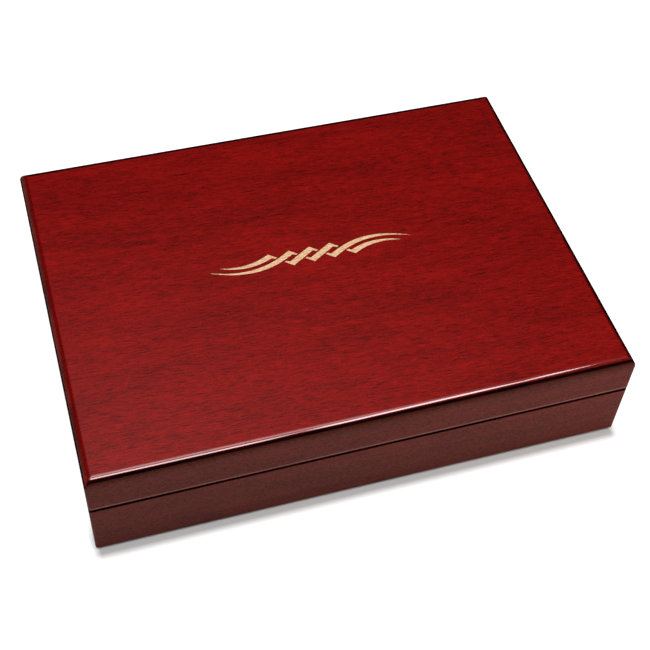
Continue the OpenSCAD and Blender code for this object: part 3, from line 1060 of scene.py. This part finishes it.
@dataclass
class BaseBox:
    """The base: four boards, the bottom panel and the felt, sizes in millimetres."""

    finishes: Finishes
    carcass: Carcass
    z_low: float = 1.0
    z_rim: float = 34.0
    z_floor: float = 6.0
    rebate: float = 4.0
    panel_ease: float = 0.3
    felt: Triple = (254.0, 188.0, 1.0)
    felt_cell: float = 3.0
    felt_edge: Pair = (0.22, 0.2)
    lint: float = 0.12
    lint_pitch: float = 0.35

    def section(self) -> list[Pair]:
        """Section of a base board, eased outside and rebated below.

        Returns:
            The closed outline as inset and height.
        """
        c, r = self.carcass, self.carcass.ease_r
        points = c.quarter((r, self.z_low + r), r, 180, c.ease_steps)[::-1]
        points += c.quarter((r, self.z_rim - r), r, 90, c.ease_steps)[::-1]
        inner, step = c.wall, c.wall - self.rebate
        return points + [(inner, self.z_rim), (inner, self.z_floor), (step, self.z_floor),
                         (step, self.z_low)]

    def felt_mesh(self) -> Mesh:
        """Matted sheet with soft edges, laid under the base.

        Returns:
            The closed sheet.
        """
        w, d, t = self.felt
        nx, ny = round(w / self.felt_cell), round(d / self.felt_cell)
        grid = [(i, j) for j in range(ny + 1) for i in range(nx + 1)]
        lower, upper = [], []
        for i, j in grid:
            x, y = w * (i / nx - 0.5), d * (j / ny - 0.5)
            low, high = self.felt_edge if i in (0, nx) or j in (0, ny) else (0.0, 0.0)
            lint = 0.5 + 0.5 * noise.noise(Vector((x, y, 0.0)) * self.lint_pitch)
            lower.append(Vector((x, y, self.lint * lint + low)) * MM)
            upper.append(Vector((x, y, t - high)) * MM)
        row, block = nx + 1, len(grid)
        faces = []
        for i, j in grid:
            if i < nx and j < ny:
                a = j * row + i
                faces.append([a, a + row, a + row + 1, a + 1])
                faces.append([block + a, block + a + 1, block + a + row + 1, block + a + row])
        loop = [*range(nx), *(j * row + nx for j in range(ny))]
        loop += [*(ny * row + i for i in range(nx, 0, -1)), *(j * row for j in range(ny, 0, -1))]
        faces += [[a, b, block + b, block + a] for a, b in zip(loop, loop[1:] + loop[:1])]
        return mesh_from(lower + upper, faces)

    def build(self) -> None:
        """Build and dress the base's pieces."""
        f = self.finishes
        for side, mesh in self.carcass.boards(self.section()).items():
            # The second slot is the painted shade of the seam.
            slots = [f[f"satin_base_{side.grain.value}"], f["painted_shade_seam"]]
            piece = show(f"base_{side.word}_board", mesh, slots,
                         choose=lambda face: int(self.carcass.in_seam(face)))
            settle(piece, "base", "lacquer_side", f"base_{side.word}_wall")
        dress_copy("bottom_panel", "base_floor_panel", "base", "lacquer_side", f["base_panel"],
                   self.panel_ease)
        felt = settle(show("felt_sheet", self.felt_mesh(), [f["felt"]]), "base", "felt", "felt_pad")
        self.felt[0] * MM
        self.felt[1] * MM


@dataclass
class Flourish:
    """Engraved ribbon of crossing strokes with a pair of tails at each end, in millimetres."""

    centre: Pair = (0.9, 5.7)
    pitch: float = 10.55
    depth: float = 0.2
    spare: float = 1.0
    head: tuple[Pair, ...] = ((-5.1, -5.03), (-9.2, -1.8), (-8.1, -1.2), (-6.4, -2.12))
    long_tail: tuple[Pair, ...] = (
        (22.0, 5.8), (35.0, 8.4), (53.7, -0.9), (37.5, 5.4), (24.5, 4.7))
    short_tail: tuple[Pair, ...] = (
        (28.0, 1.75), (37.0, 2.75), (47.6, -2.1), (37.0, 1.0), (28.0, -0.85))
    tail_steps: int = 16

    def curve(self, *poles: Pair) -> list[Pair]:
        """Points of a cubic curve after its start.

        Args:
            poles: Start point, first handle, second handle and end point.

        Returns:
            The points, without the start.
        """
        points = []
        for i in range(1, self.tail_steps + 1):
            t = i / self.tail_steps
            w = ((1 - t) ** 3, 3 * t * (1 - t) ** 2, 3 * t * t * (1 - t), t ** 3)
            points.append(tuple(sum(k * p[axis] for k, p in zip(w, poles)) for axis in (0, 1)))
        return points

    def strokes(self) -> list[list[Pair]]:
        """Outlines of the six strokes on the lid's top.

        Returns:
            The outlines.
        """
        made = []
        for place in (-0.5, 0.5):
            outline = [*self.head, *((-x, -y) for x, y in self.head)]
            made.append([(x + place * self.pitch, y) for x, y in outline])
        for place, tail in ((1.5, self.long_tail), (2.5, self.short_tail)):
            head = [(x + place * self.pitch, y) for x, y in self.head]
            outline = head + self.curve(head[-1], *tail[:3]) + self.curve(*tail[2:], head[0])[:-1]
            made += [outline, [(-x, -y) for x, y in outline]]
        return [[(x + self.centre[0], y + self.centre[1]) for x, y in outline] for outline in made]

    def cutters(self, top: float) -> list[Mesh]:
        """Prisms that sink the strokes into a top at that height in millimetres."""
        return [prism(outline, top - self.depth, top + self.spare) for outline in self.strokes()]


@dataclass
class LidBox:
    """The lid: four boards and the top panel with its rounded edge and flourish, in millimetres.

    For each side, the edge bands give the finishes of the rounded edge, each with the tilt in
    degrees at which it ends. A face that tilts less than the level tilt is part of the flat top,
    and an engraved face is steep where its normal rises less than that share.
    """

    finishes: Finishes
    carcass: Carcass
    flourish: Flourish = field(default_factory=Flourish)
    z_rim: float = 34.3
    z_panel: float = 50.0
    z_top: float = 56.0
    edge_r: float = 4.5
    edge_steps: int = 30
    corner_top: float = 0.5
    # Heights of the painted highlight band above the rim.
    worn: Pair = (1.1, 1.85)
    steep: float = 0.5
    level_tilt: float = 0.5
    # Painted shade: the darker bands stand in for the shade that falls on the rounded edge.
    edge_bands: dict[Side, tuple[tuple[float, TopFinish], ...]] = field(default_factory=lambda: {
        Side.FRONT: ((29.0, TopFinish.FRONT_GLOSS), (48.0, TopFinish.STAIN),
                     (180.0, TopFinish.FRONT_SATIN)),
        Side.LEFT: ((10.0, TopFinish.GLOSS), (30.0, TopFinish.LEFT_GLOSS),
                    (57.0, TopFinish.LEFT_STAIN), (75.0, TopFinish.STAIN),
                    (180.0, TopFinish.SIDE_SATIN)),
        Side.BACK: ((7.0, TopFinish.GLOSS), (75.0, TopFinish.STAIN), (180.0, TopFinish.BACK_SATIN)),
        Side.RIGHT: ((13.0, TopFinish.GLOSS), (25.0, TopFinish.RIGHT_STAIN),
                     (75.0, TopFinish.STAIN), (180.0, TopFinish.SIDE_SATIN))})

    def section(self) -> list[Pair]:
        """Section of a lid board, eased at its lower edge.

        Returns:
            The closed outline as inset and height.
        """
        c, r = self.carcass, self.carcass.ease_r
        points = c.quarter((r, self.z_rim + r), r, 180, c.ease_steps)[::-1]
        points += [(0.0, self.z_rim + rise) for rise in self.worn]
        return points + [(0.0, self.z_panel), (c.wall, self.z_panel), (c.wall, self.z_rim)]

    def top_mesh(self) -> Mesh:
        """Top panel with a rounded edge, and the flourish sunk into it.

        Returns:
            The closed panel.
        """
        c, r = self.carcass, self.edge_r
        rows = [(0.0, self.z_panel), (0.0, self.z_top - r)]
        for i in range(1, self.edge_steps + 1):
            tilt = math.radians(90 * (1 - i / self.edge_steps))
            rows.append((r - r * math.sin(tilt), self.z_top - r + r * math.cos(tilt)))
        slope = (self.corner_top - c.corner_r) / r
        plans = [(c.contour(inset, c.corner_r + slope * inset), height) for inset, height in rows]
        panel = loft([[Vector((*point, height)) * MM for point in plan] for plan, height in plans])
        return cut(panel, *self.flourish.cutters(self.z_top))

    def face_finish(self, face: Face) -> TopFinish:
        """Choose the finish of one face of the top panel.

        Args:
            face: The face.

        Returns:
            Its finish.
        """
        centre, normal = face.center / MM, face.normal
        if self.carcass.inset(face) > 2 * self.edge_r and centre.z > self.z_top - self.edge_r:
            if abs(normal.z) < self.steep:
                return TopFinish.ENGRAVED_WALL
            sunk = centre.z < self.z_top - self.flourish.depth / 2
            return TopFinish.ENGRAVED_FLOOR if sunk else TopFinish.GLOSS
        tilt = math.degrees(math.acos(max(-1.0, min(1.0, normal.z))))
        if tilt < self.level_tilt:
            return TopFinish.GLOSS
        if abs(normal.x) > abs(normal.y):
            side = Side.RIGHT if normal.x > 0 else Side.LEFT
        else:
            side = Side.BACK if normal.y > 0 else Side.FRONT
        return next(finish for end, finish in self.edge_bands[side] if tilt <= end)

    def board_slot(self, face: Face) -> int:
        """Choose the slot of one face of a lid board.

        Args:
            face: The face.

        Returns:
            0 for satin, 1 for the painted shade at the seam and 2 for the painted highlight on the
            rim.
        """
        if self.carcass.in_seam(face):
            return 1
        low, high = (self.z_rim + rise for rise in self.worn)
        outside = self.carcass.inset(face) < self.carcass.flush
        return 2 if outside and low < face.center.z / MM < high else 0

    def build(self) -> None:
        """Build and dress the lid's pieces."""
        f = self.finishes
        for side, mesh in self.carcass.boards(self.section()).items():
            along = side.grain.value
            slots = [f[f"satin_veneer_{along}"], f["painted_shade_seam"], f[f"worn_edge_{along}"]]
            piece = show(f"lid_{side.word}_board", mesh, slots, choose=self.board_slot)
            settle(piece, "lid", "lacquer_side", f"lid_{side.word}_wall")
        order = list(TopFinish)
        top = show("lid_top", self.top_mesh(), [f[finish.value] for finish in order],
                   choose=lambda face: order.index(self.face_finish(face)))
        settle(top, "lid", "lacquer_top", "lid_top_panel")


@dataclass
class CedarLining:
    """Cedar sheets and strips of the base and the lid, eased in millimetres."""

    finishes: Finishes
    strip_ease: float = 0.35
    sheet_ease: float = 0.2

    def build(self) -> None:
        """Build and dress the lining."""
        for body in ("base", "lid"):
            for side in Side:
                dress_copy(f"{body}_{side.word}_cedar", f"{body}_{side.word}_liner", body, "cedar",
                           self.finishes[f"cedar_{side.grain.value}"], self.strip_ease)
        sheets = {"cedar_bottom": ("cedar_floor", "base"), "cedar_top": ("cedar_ceiling", "lid")}
        for name, (node, body) in sheets.items():
            dress_copy(name, node, body, "cedar", self.finishes["cedar_x"], self.sheet_ease)


@dataclass
class Divider:
    """Loose slotted cedar divider, eased in millimetres."""

    finishes: Finishes
    ease: float = 0.5

    def build(self) -> None:
        """Build and dress the divider."""
        dress_copy("slotted_divider", "divider", "divider", "cedar", self.finishes["cedar_y"],
                   self.ease)


@dataclass
class Hinges:
    """Pair of brass butt hinges with their pins and screws, sizes in millimetres."""

    finishes: Finishes
    carcass: Carcass
    leaf_faces: Pair = (34.0, 34.3)
    ease: float = 0.12
    pin_ease: float = 0.35
    screw_y: float = -4.55
    screw_pitch: float = 20.0
    head_r: float = 1.42
    shank_r: float = 0.9
    head_h: float = 0.8
    sunk: float = 0.05
    length: float = 6.0
    core_share: float = 0.9
    overlap: float = 0.2
    slot_w: float = 0.42
    slot_h: float = 0.4
    head_steps: int = 40
    shank_steps: int = 24
    seed: int = 7

    def screws(self, name: str, level: float, flip: float) -> Mesh:
        """Slotted countersunk screws of both leaves of one side.

        Args:
            name: The tree's name.
            level: Height of the leaf's face.
            flip: Half turn about X in radians for screws that look down.

        Returns:
            One mesh with four screws.
        """
        sizes = {
            "Hinge distance": 2 * self.carcass.hinge_x, "Screw pitch": self.screw_pitch,
            "Depth": self.carcass.axis_y + self.screw_y, "Level": level, "Head radius": self.head_r,
            "Head height": self.head_h, "Shank radius": self.shank_r, "Length": self.length,
            "Overlap": self.overlap, "Slot width": self.slot_w, "Slot depth": self.slot_h}
        kit = Kit(name, {word: size * MM for word, size in sizes.items()}
                  | {"Flip": flip, "Seed": self.seed})
        between, pitch, rise, length = (
            kit[word] for word in ("Hinge distance", "Screw pitch", "Head height", "Length"))
        first = kit.vector(between * -0.5, kit["Depth"], kit["Level"])
        hinges = kit.pair(first, kit.vector(between))
        leaf = kit.pair(kit.vector(pitch * -0.5), kit.vector(pitch))
        spots = kit.add("GeometryNodeRealizeInstances", {0: kit.placed(hinges, leaf)})
        cone = kit.add("GeometryNodeMeshCone", {
            "Vertices": self.head_steps, "Radius Top": kit["Head radius"],
            "Radius Bottom": kit["Shank radius"], "Depth": rise})
        slot = kit.vector(kit["Head radius"] * 3.0, kit["Slot width"], kit["Slot depth"] * 2.0)
        groove = kit.add("GeometryNodeMeshCube", {"Size": slot})
        head = kit.add("GeometryNodeMeshBoolean", {0: kit.lifted(cone, rise * -1.0), 1: groove},
                       operation="DIFFERENCE", solver="EXACT")
        rod = kit.add("GeometryNodeMeshCylinder", {
            "Vertices": self.shank_steps, "Radius": kit["Shank radius"] * self.core_share,
            "Depth": length})
        shank = kit.lifted(rod, kit["Overlap"] - (rise + length * 0.5))
        screw = kit.add("GeometryNodeJoinGeometry", {0: [head, shank]})
        turns = {"Min": 0.0, "Max": math.pi, "Seed": kit["Seed"]}
        spin = kit.add("FunctionNodeRandomValue", turns, "Value", data_type="FLOAT")
        placed = kit.placed(spots, screw, Rotation=kit.vector(kit["Flip"], 0.0, spin))
        return kit.mesh(placed, self.finishes["brass"])

    def build(self) -> None:
        """Build and dress the hinges."""
        brass = self.finishes["brass"]
        for body in ("base", "lid"):
            for side in ("left", "right"):
                node = f"{side}_hinge_{body}_leaf"
                dress_copy(f"{side}_{body}_leaf", node, body, "brass", brass, self.ease)
        dress_copy("hinge_pin_pair", "hinge_pins", "base", "brass", brass, self.pin_ease, 3)
        low, high = self.leaf_faces
        levels = {"base": (low - self.sunk, 0.0), "lid": (high + self.sunk, math.pi)}
        for body, (level, flip) in levels.items():
            screws = self.screws(f"{body}_screws", level, flip)
            settle(show(f"{body}_hinge_screws", screws), body, "brass")


@dataclass
class Hygrometer:
    """Dial with its case, marks, figures, needle and lens, sizes in millimetres."""

    finishes: Finishes
    centre: Pair = (-62.0, 0.0)
    z_face: float = 44.35
    sweep: float = 270.0
    marks: int = 51
    major_every: float = 5.0
    mark_r: float = 16.4
    minor: Pair = (1.3, 0.16)
    major: Pair = (2.3, 0.32)
    print_t: float = 0.04
    print_sunk: float = 0.01
    proud_share: float = 0.4
    figure_r: float = 11.6
    figure_h: float = 2.5
    figure_merge: float = 1e-7
    zone: Pair = (65.0, 75.0)
    zone_r: Pair = (16.7, 17.4)
    zone_steps: int = 24
    needle_ease: float = 0.06

    def angle(self, reading: float) -> float:
        """Angle of a reading, clockwise from the dial's top, in radians."""
        return math.radians((reading / 100 - 0.5) * self.sweep)

    def spot(self, radius: float, angle: float, rise: float = 0.0) -> Vector:
        """A point on the dial's face, which looks down while the lid is shut."""
        x, y = self.centre[0] + radius * math.sin(angle), self.centre[1] - radius * math.cos(angle)
        return Vector((x, y, self.z_face - rise)) * MM

    def mark_mesh(self) -> Mesh:
        """The ring of scale marks.

        Returns:
            One mesh with every mark.
        """
        sizes = {
            "Ring radius": self.mark_r, "Thickness": self.print_t, "Across": self.centre[0],
            "Level": self.z_face, "Minor length": self.minor[0], "Minor width": self.minor[1],
            "Major length": self.major[0], "Major width": self.major[1]}
        kit = Kit("dial_marks", {word: size * MM for word, size in sizes.items()} | {
            "Count": self.marks, "Major every": self.major_every,
            "Sweep": math.radians(self.sweep)})
        index = kit.add("GeometryNodeInputIndex")
        angle = (index / (kit["Count"] - 1.0) - 0.5) * kit["Sweep"]
        minor = kit.step("GREATER_THAN", kit.step("MODULO", index, kit["Major every"]), 0.5)
        length, width = (
            kit[f"Major {word}"] + minor * (kit[f"Minor {word}"] - kit[f"Major {word}"])
            for word in ("length", "width"))
        radius = kit["Ring radius"] - length * 0.5
        x = kit["Across"] + radius * kit.step("SINE", angle)
        y = radius * (kit.step("COSINE", angle) * -1.0)
        place = kit.vector(x, y, kit["Level"] - kit["Thickness"] * self.proud_share)
        points = kit.add("GeometryNodePoints", {"Count": kit["Count"], "Position": place})
        bar = kit.add("GeometryNodeMeshCube", {"Size": (1.0, 1.0, 1.0)})
        placed = kit.placed(points, bar, Rotation=kit.vector(z=angle),
                            Scale=kit.vector(width, length, kit["Thickness"]))
        return kit.mesh(placed, self.finishes["dial_ink"])

    def figure_mesh(self) -> Mesh:
        """The figures from 0 to 100.

        Returns:
            One mesh with every figure.
        """
        form = bmesh.new()
        for reading in range(0, 101, 10):
            words = bpy.data.curves.new("figure", "FONT")
            words.body, words.size = str(reading), self.figure_h * MM
            words.align_x, words.align_y, words.extrude = "CENTER", "CENTER", self.print_t * MM / 2
            mesh = plain_mesh(bpy.data.objects.new("figure", words))
            mesh.transform(Matrix.Translation(self.spot(self.figure_r, self.angle(reading)))
                           @ Matrix.Rotation(math.pi, 4, "X"))
            form.from_mesh(mesh)
            bpy.data.meshes.remove(mesh)
        bmesh.ops.remove_doubles(form, verts=form.verts, dist=self.figure_merge)
        return mesh_of(form)

    def zone_mesh(self) -> Mesh:
        """The band that marks the best humidity.

        Returns:
            The closed band.
        """
        (inner, outer), low, high = self.zone_r, -self.print_sunk, self.print_t
        corners = ((inner, low), (outer, low), (outer, high), (inner, high))
        start, width, count = self.zone[0], self.zone[1] - self.zone[0], self.zone_steps
        angles = [self.angle(start + width * i / count) for i in range(count + 1)]
        return loft([[self.spot(radius, angle, rise) for radius, rise in corners]
                     for angle in angles])

    def build(self) -> None:
        """Build and dress the dial and what holds it."""
        f = self.finishes
        for name, node, slot, finish, ease in (
                ("dial_case", "hygrometer_case", "brass", "brass", 0.3),
                ("dial_bezel", "hygrometer_bezel", "brass", "brass", 0.25),
                ("dial_plate", "hygrometer_dial", "dial_face", "dial_face", 0.08),
                ("dial_lens", "hygrometer_lens", "lens", "lens_glass", 0.2)):
            dress_copy(name, node, "lid", slot, f[finish], ease)
        dress_node("hygrometer_movement", f["steel"])
        settle(show("dial_marks", self.mark_mesh()), "lid", "dial_face")
        settle(show("dial_figures", self.figure_mesh(), [f["dial_ink"]]), "lid", "dial_face")
        settle(show("dial_zone", self.zone_mesh(), [f["dial_zone"]]), "lid", "dial_face")
        dress_copy("dial_needle", "hygrometer_needle", "needle", "needle_paint", f["needle_paint"],
                   self.needle_ease)


@dataclass
class Humidifier:
    """Slotted black case with its wet foam, held by magnets, sizes in millimetres."""

    finishes: Finishes
    case_ease: float = 0.6
    grille_ease: float = 0.25
    cell: float = 1.6
    round_r: float = 0.8
    pit: float = 0.35
    pit_pitch: float = 0.9
    foam_turn: float = 80.0

    def foam_mesh(self) -> Mesh:
        """Foam block with rounded edges and pitted faces.

        Returns:
            The closed block.
        """
        low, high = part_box("humidifier_foam")
        size, middle = (high - low) / MM, (high + low) / 2 / MM
        counts = [max(2, round(side / self.cell)) for side in size]
        form = bmesh.new()
        spots: dict[tuple[int, ...], bmesh.types.BMVert] = {}

        def at(key: tuple[int, ...]) -> bmesh.types.BMVert:
            """The point of the block's surface at a grid place.

            Args:
                key: The place along each axis.

            Returns:
                The point, made when it is first asked for.
            """
            if key not in spots:
                point = Vector([(k / n - 0.5) * s for k, n, s in zip(key, counts, size)])
                limits = [s / 2 - self.round_r for s in size]
                core = Vector([max(-limit, min(limit, p)) for p, limit in zip(point, limits)])
                pitted = self.round_r - self.pit * (0.5 + 0.5 * noise.noise(point * self.pit_pitch))
                out = (point - core).normalized() * pitted
                spots[key] = form.verts.new((middle + core + out) * MM)
            return spots[key]

        for axis in range(3):
            u, v = (axis + 1) % 3, (axis + 2) % 3
            for end in (0, counts[axis]):
                for i in range(counts[u]):
                    for j in range(counts[v]):
                        keys = ({axis: end, u: a, v: b}
                                for a, b in ((i, j), (i + 1, j), (i + 1, j + 1), (i, j + 1)))
                        form.faces.new([at((key[0], key[1], key[2])) for key in keys])
        bmesh.ops.recalc_face_normals(form, faces=form.faces)
        return mesh_of(form)

    def build(self) -> None:
        """Build and dress the humidifier."""
        f = self.finishes
        for name, node, ease, steps in (
                ("humidifier_shell", "humidifier_case", self.case_ease, 3),
                ("humidifier_cover", "humidifier_grille", self.grille_ease, 2)):
            dress_copy(name, node, "lid", "black_plastic", f["black_plastic"], ease, steps)
        foam = show("foam_block", self.foam_mesh(), [f["foam"]], self.foam_turn)
        settle(foam, "lid", "foam", "humidifier_foam")
        dress_node("humidifier_plates", f["steel"])
        dress_node("humidifier_magnets", f["magnet"])


@dataclass
class Lamp:
    """One soft box, in metres. One that the gloss mirrors fades out over shares of its sides."""

    name: str
    place: Triple
    size: Pair
    power: float
    roll: float = 0.0
    fade: Pair | None = None
    aim: Triple | None = None
    tint: Triple = WHITE[:3]

    def fade_rim(self, light: bpy.types.AreaLight, shares: Pair) -> None:
        """Let the light fade out towards the rim of the box.

        Args:
            light: The lamp's light.
            shares: The shares of the box's sides over which it fades.
        """
        light.use_nodes = True
        nodes = Nodes(light.node_tree)
        spot = nodes.add("ShaderNodeNewGeometry", out="Parametric")
        across, along = (
            nodes.step("ABSOLUTE", nodes.part(spot, axis) - 0.5).spread(
                0.5 - share / 2, 0.5, 1.0, 0.0, interpolation_type="SMOOTHSTEP")
            for axis, share in zip("XY", shares))
        nodes.feed(light.node_tree.nodes["Emission"].inputs["Strength"], across * along)

    def build(self) -> None:
        """Hang the lamp, straight down where it has no aim."""
        light = bpy.data.lights.new(self.name, "AREA")
        light.shape, light.size, light.size_y = "RECTANGLE", *self.size
        light.energy, light.color = self.power, self.tint
        if self.fade:
            self.fade_rim(light, self.fade)
        lamp = bpy.data.objects.new(self.name, light)
        bpy.context.scene.collection.objects.link(lamp)
        place = Vector(self.place)
        toward = Vector(self.aim or (*self.place[:2], 0.0)) - place
        aimed = toward.to_track_quat("-Z", "Y").to_matrix().to_4x4()
        rolled = Matrix.Rotation(math.radians(self.roll), 4, "Z")
        lamp.matrix_world = Matrix.Translation(place) @ aimed @ rolled
        lamp.visible_camera = False
        lamp.visible_glossy = self.fade is not None


@dataclass(frozen=True)
class Sky:
    """Dim studio sky with one soft bright part above the back left."""

    level: float = 0.02
    glow: float = 0.33
    high: Pair = (0.68, 0.84)
    behind: Pair = (0.0, 0.35)
    left: Pair = (0.6, -0.05)

    def make(self) -> bpy.types.World:
        """Build the sky.

        Returns:
            The world.
        """
        world = bpy.data.worlds.new("studio")
        world.use_nodes = True
        nodes = Nodes(world.node_tree)
        direction = nodes.add("ShaderNodeTexCoord", out="Generated")
        reaches = {"X": self.left, "Y": self.behind, "Z": self.high}
        left, behind, rise = (
            nodes.part(direction, axis).spread(*reach) for axis, reach in reaches.items())
        share = (rise * rise) * (behind * left)
        inputs = world.node_tree.nodes["Background"].inputs
        nodes.feed(inputs["Color"], WHITE)
        nodes.feed(inputs["Strength"], share * self.glow + self.level)
        return world


@dataclass
class Studio:
    """Pale ground, soft light and the camera, sizes in metres."""

    lens: float = 69.33
    sensor: float = 36.0
    clip: Pair = (0.01, 20.0)
    camera_place: Triple = (-0.13, -0.386604, 0.517279)
    camera_right: Triple = (0.957403, -0.285549, 0.042919)
    camera_down: Triple = (-0.197725, -0.756618, -0.623245)
    camera_ahead: Triple = (0.210441, 0.58821, -0.780848)
    sky: Sky = field(default_factory=Sky)
    ground_r: float = 3.0
    ground_turns: int = 96
    flat_rings: Pair = (0.35, 1.0)
    cove_r: float = 0.8
    cove_steps: int = 10
    wall_top: float = 1.3
    lamps: tuple[Lamp, ...] = (
        Lamp("strip_left", (-0.045, -0.225, 0.65), (0.25, 0.16), 0.43, -13.0, (0.3, 0.3)),
        Lamp("strip_right", (0.183, -0.152, 0.65), (0.33, 0.19), 0.79, 38.8, (0.3, 0.6)),
        Lamp("strip_end", (0.33, -0.024, 0.65), (0.1, 0.065), 0.105, 58.0, (0.3, 0.3)),
        Lamp("sheen", (-0.05, 0.035, 0.66), (0.8, 0.3), 0.72, 0.0, (0.9, 0.6)),
        Lamp("front_left", (-0.045, -0.225, 0.65), (0.235, 0.14), 0.73, -13.0),
        Lamp("front_right", (0.12, -0.2, 0.65), (0.3, 0.15), 0.95, 20.0),
        Lamp("soft_left", (-0.12, 0.075, 0.65), (0.36, 0.24), 1.08),
        Lamp("soft_right", (0.0, -0.02, 0.65), (0.3, 0.3), 0.5),
        Lamp("left_fill", (-0.42, -0.22, 0.55), (0.3, 0.3), 1.0, aim=(-0.02, -0.03, 0.05)),
        Lamp("back_fill", (0.0, 0.85, 0.2), (0.5, 0.2), 2.4, aim=(0.0, 0.1, 0.1)),
        Lamp("low_right", (0.35, -0.3, 0.1), (0.16, 0.12), 0.46, aim=(0.1, -0.097, 0.03),
             tint=(1.0, 0.72, 0.58)),
    )

    def ground_mesh(self) -> Mesh:
        """Round floor that curves up into a low wall.

        Returns:
            The open dish.
        """
        r, flat_r = self.cove_r, self.ground_r - self.cove_r
        rows = [(radius, 0.0) for radius in (*self.flat_rings, flat_r)]
        for i in range(1, self.cove_steps + 1):
            bend = math.pi / 2 * i / self.cove_steps
            rows.append((flat_r + r * math.sin(bend), r - r * math.cos(bend)))
        rows.append((self.ground_r, self.wall_top))
        turns = [math.tau * i / self.ground_turns for i in range(self.ground_turns)]
        verts = [Vector((radius * math.cos(turn), radius * math.sin(turn), height))
                 for radius, height in rows for turn in turns]
        return mesh_from(verts, [list(range(len(turns)))] + skin(len(rows), len(turns)))

    def build(self) -> None:
        """Set up the ground, the light and the camera."""
        scene = bpy.context.scene
        scene.view_settings.view_transform = "Standard"
        ground = bpy.data.objects.new("ground", self.ground_mesh())
        ground.data.materials.append(PaleGround().make())
        ground.data.polygons.foreach_set("use_smooth", [True] * len(ground.data.polygons))
        scene.collection.objects.link(ground)
        scene.world = self.sky.make()
        for lamp in self.lamps:
            lamp.build()
        view = bpy.data.cameras.new("camera")
        view.lens, view.sensor_width, view.sensor_fit = self.lens, self.sensor, "HORIZONTAL"
        view.clip_start, view.clip_end = self.clip
        camera = bpy.data.objects.new("camera", view)
        axes = (self.camera_right, self.camera_down, self.camera_ahead)
        right, down, ahead = (Vector(axis) for axis in axes)
        turn = Matrix((right, -down, -ahead)).transposed()
        camera.matrix_world = Matrix.Translation(Vector(self.camera_place)) @ turn.to_4x4()
        scene.collection.objects.link(camera)
        scene.camera = camera


def main() -> None:
    """Build the studio and the humidor, piece by piece."""
    logging.basicConfig(level=logging.INFO, format="%(name)s: %(message)s")
    Studio().build()
    finishes, carcass = make_finishes(), Carcass()
    assemblies: Iterable[Any] = (
        BaseBox(finishes, carcass), LidBox(finishes, carcass), CedarLining(finishes),
        Divider(finishes), Hinges(finishes, carcass), Hygrometer(finishes), Humidifier(finishes))
    for assembly in assemblies:
        assembly.build()


if __name__ == "__main__":
    main()
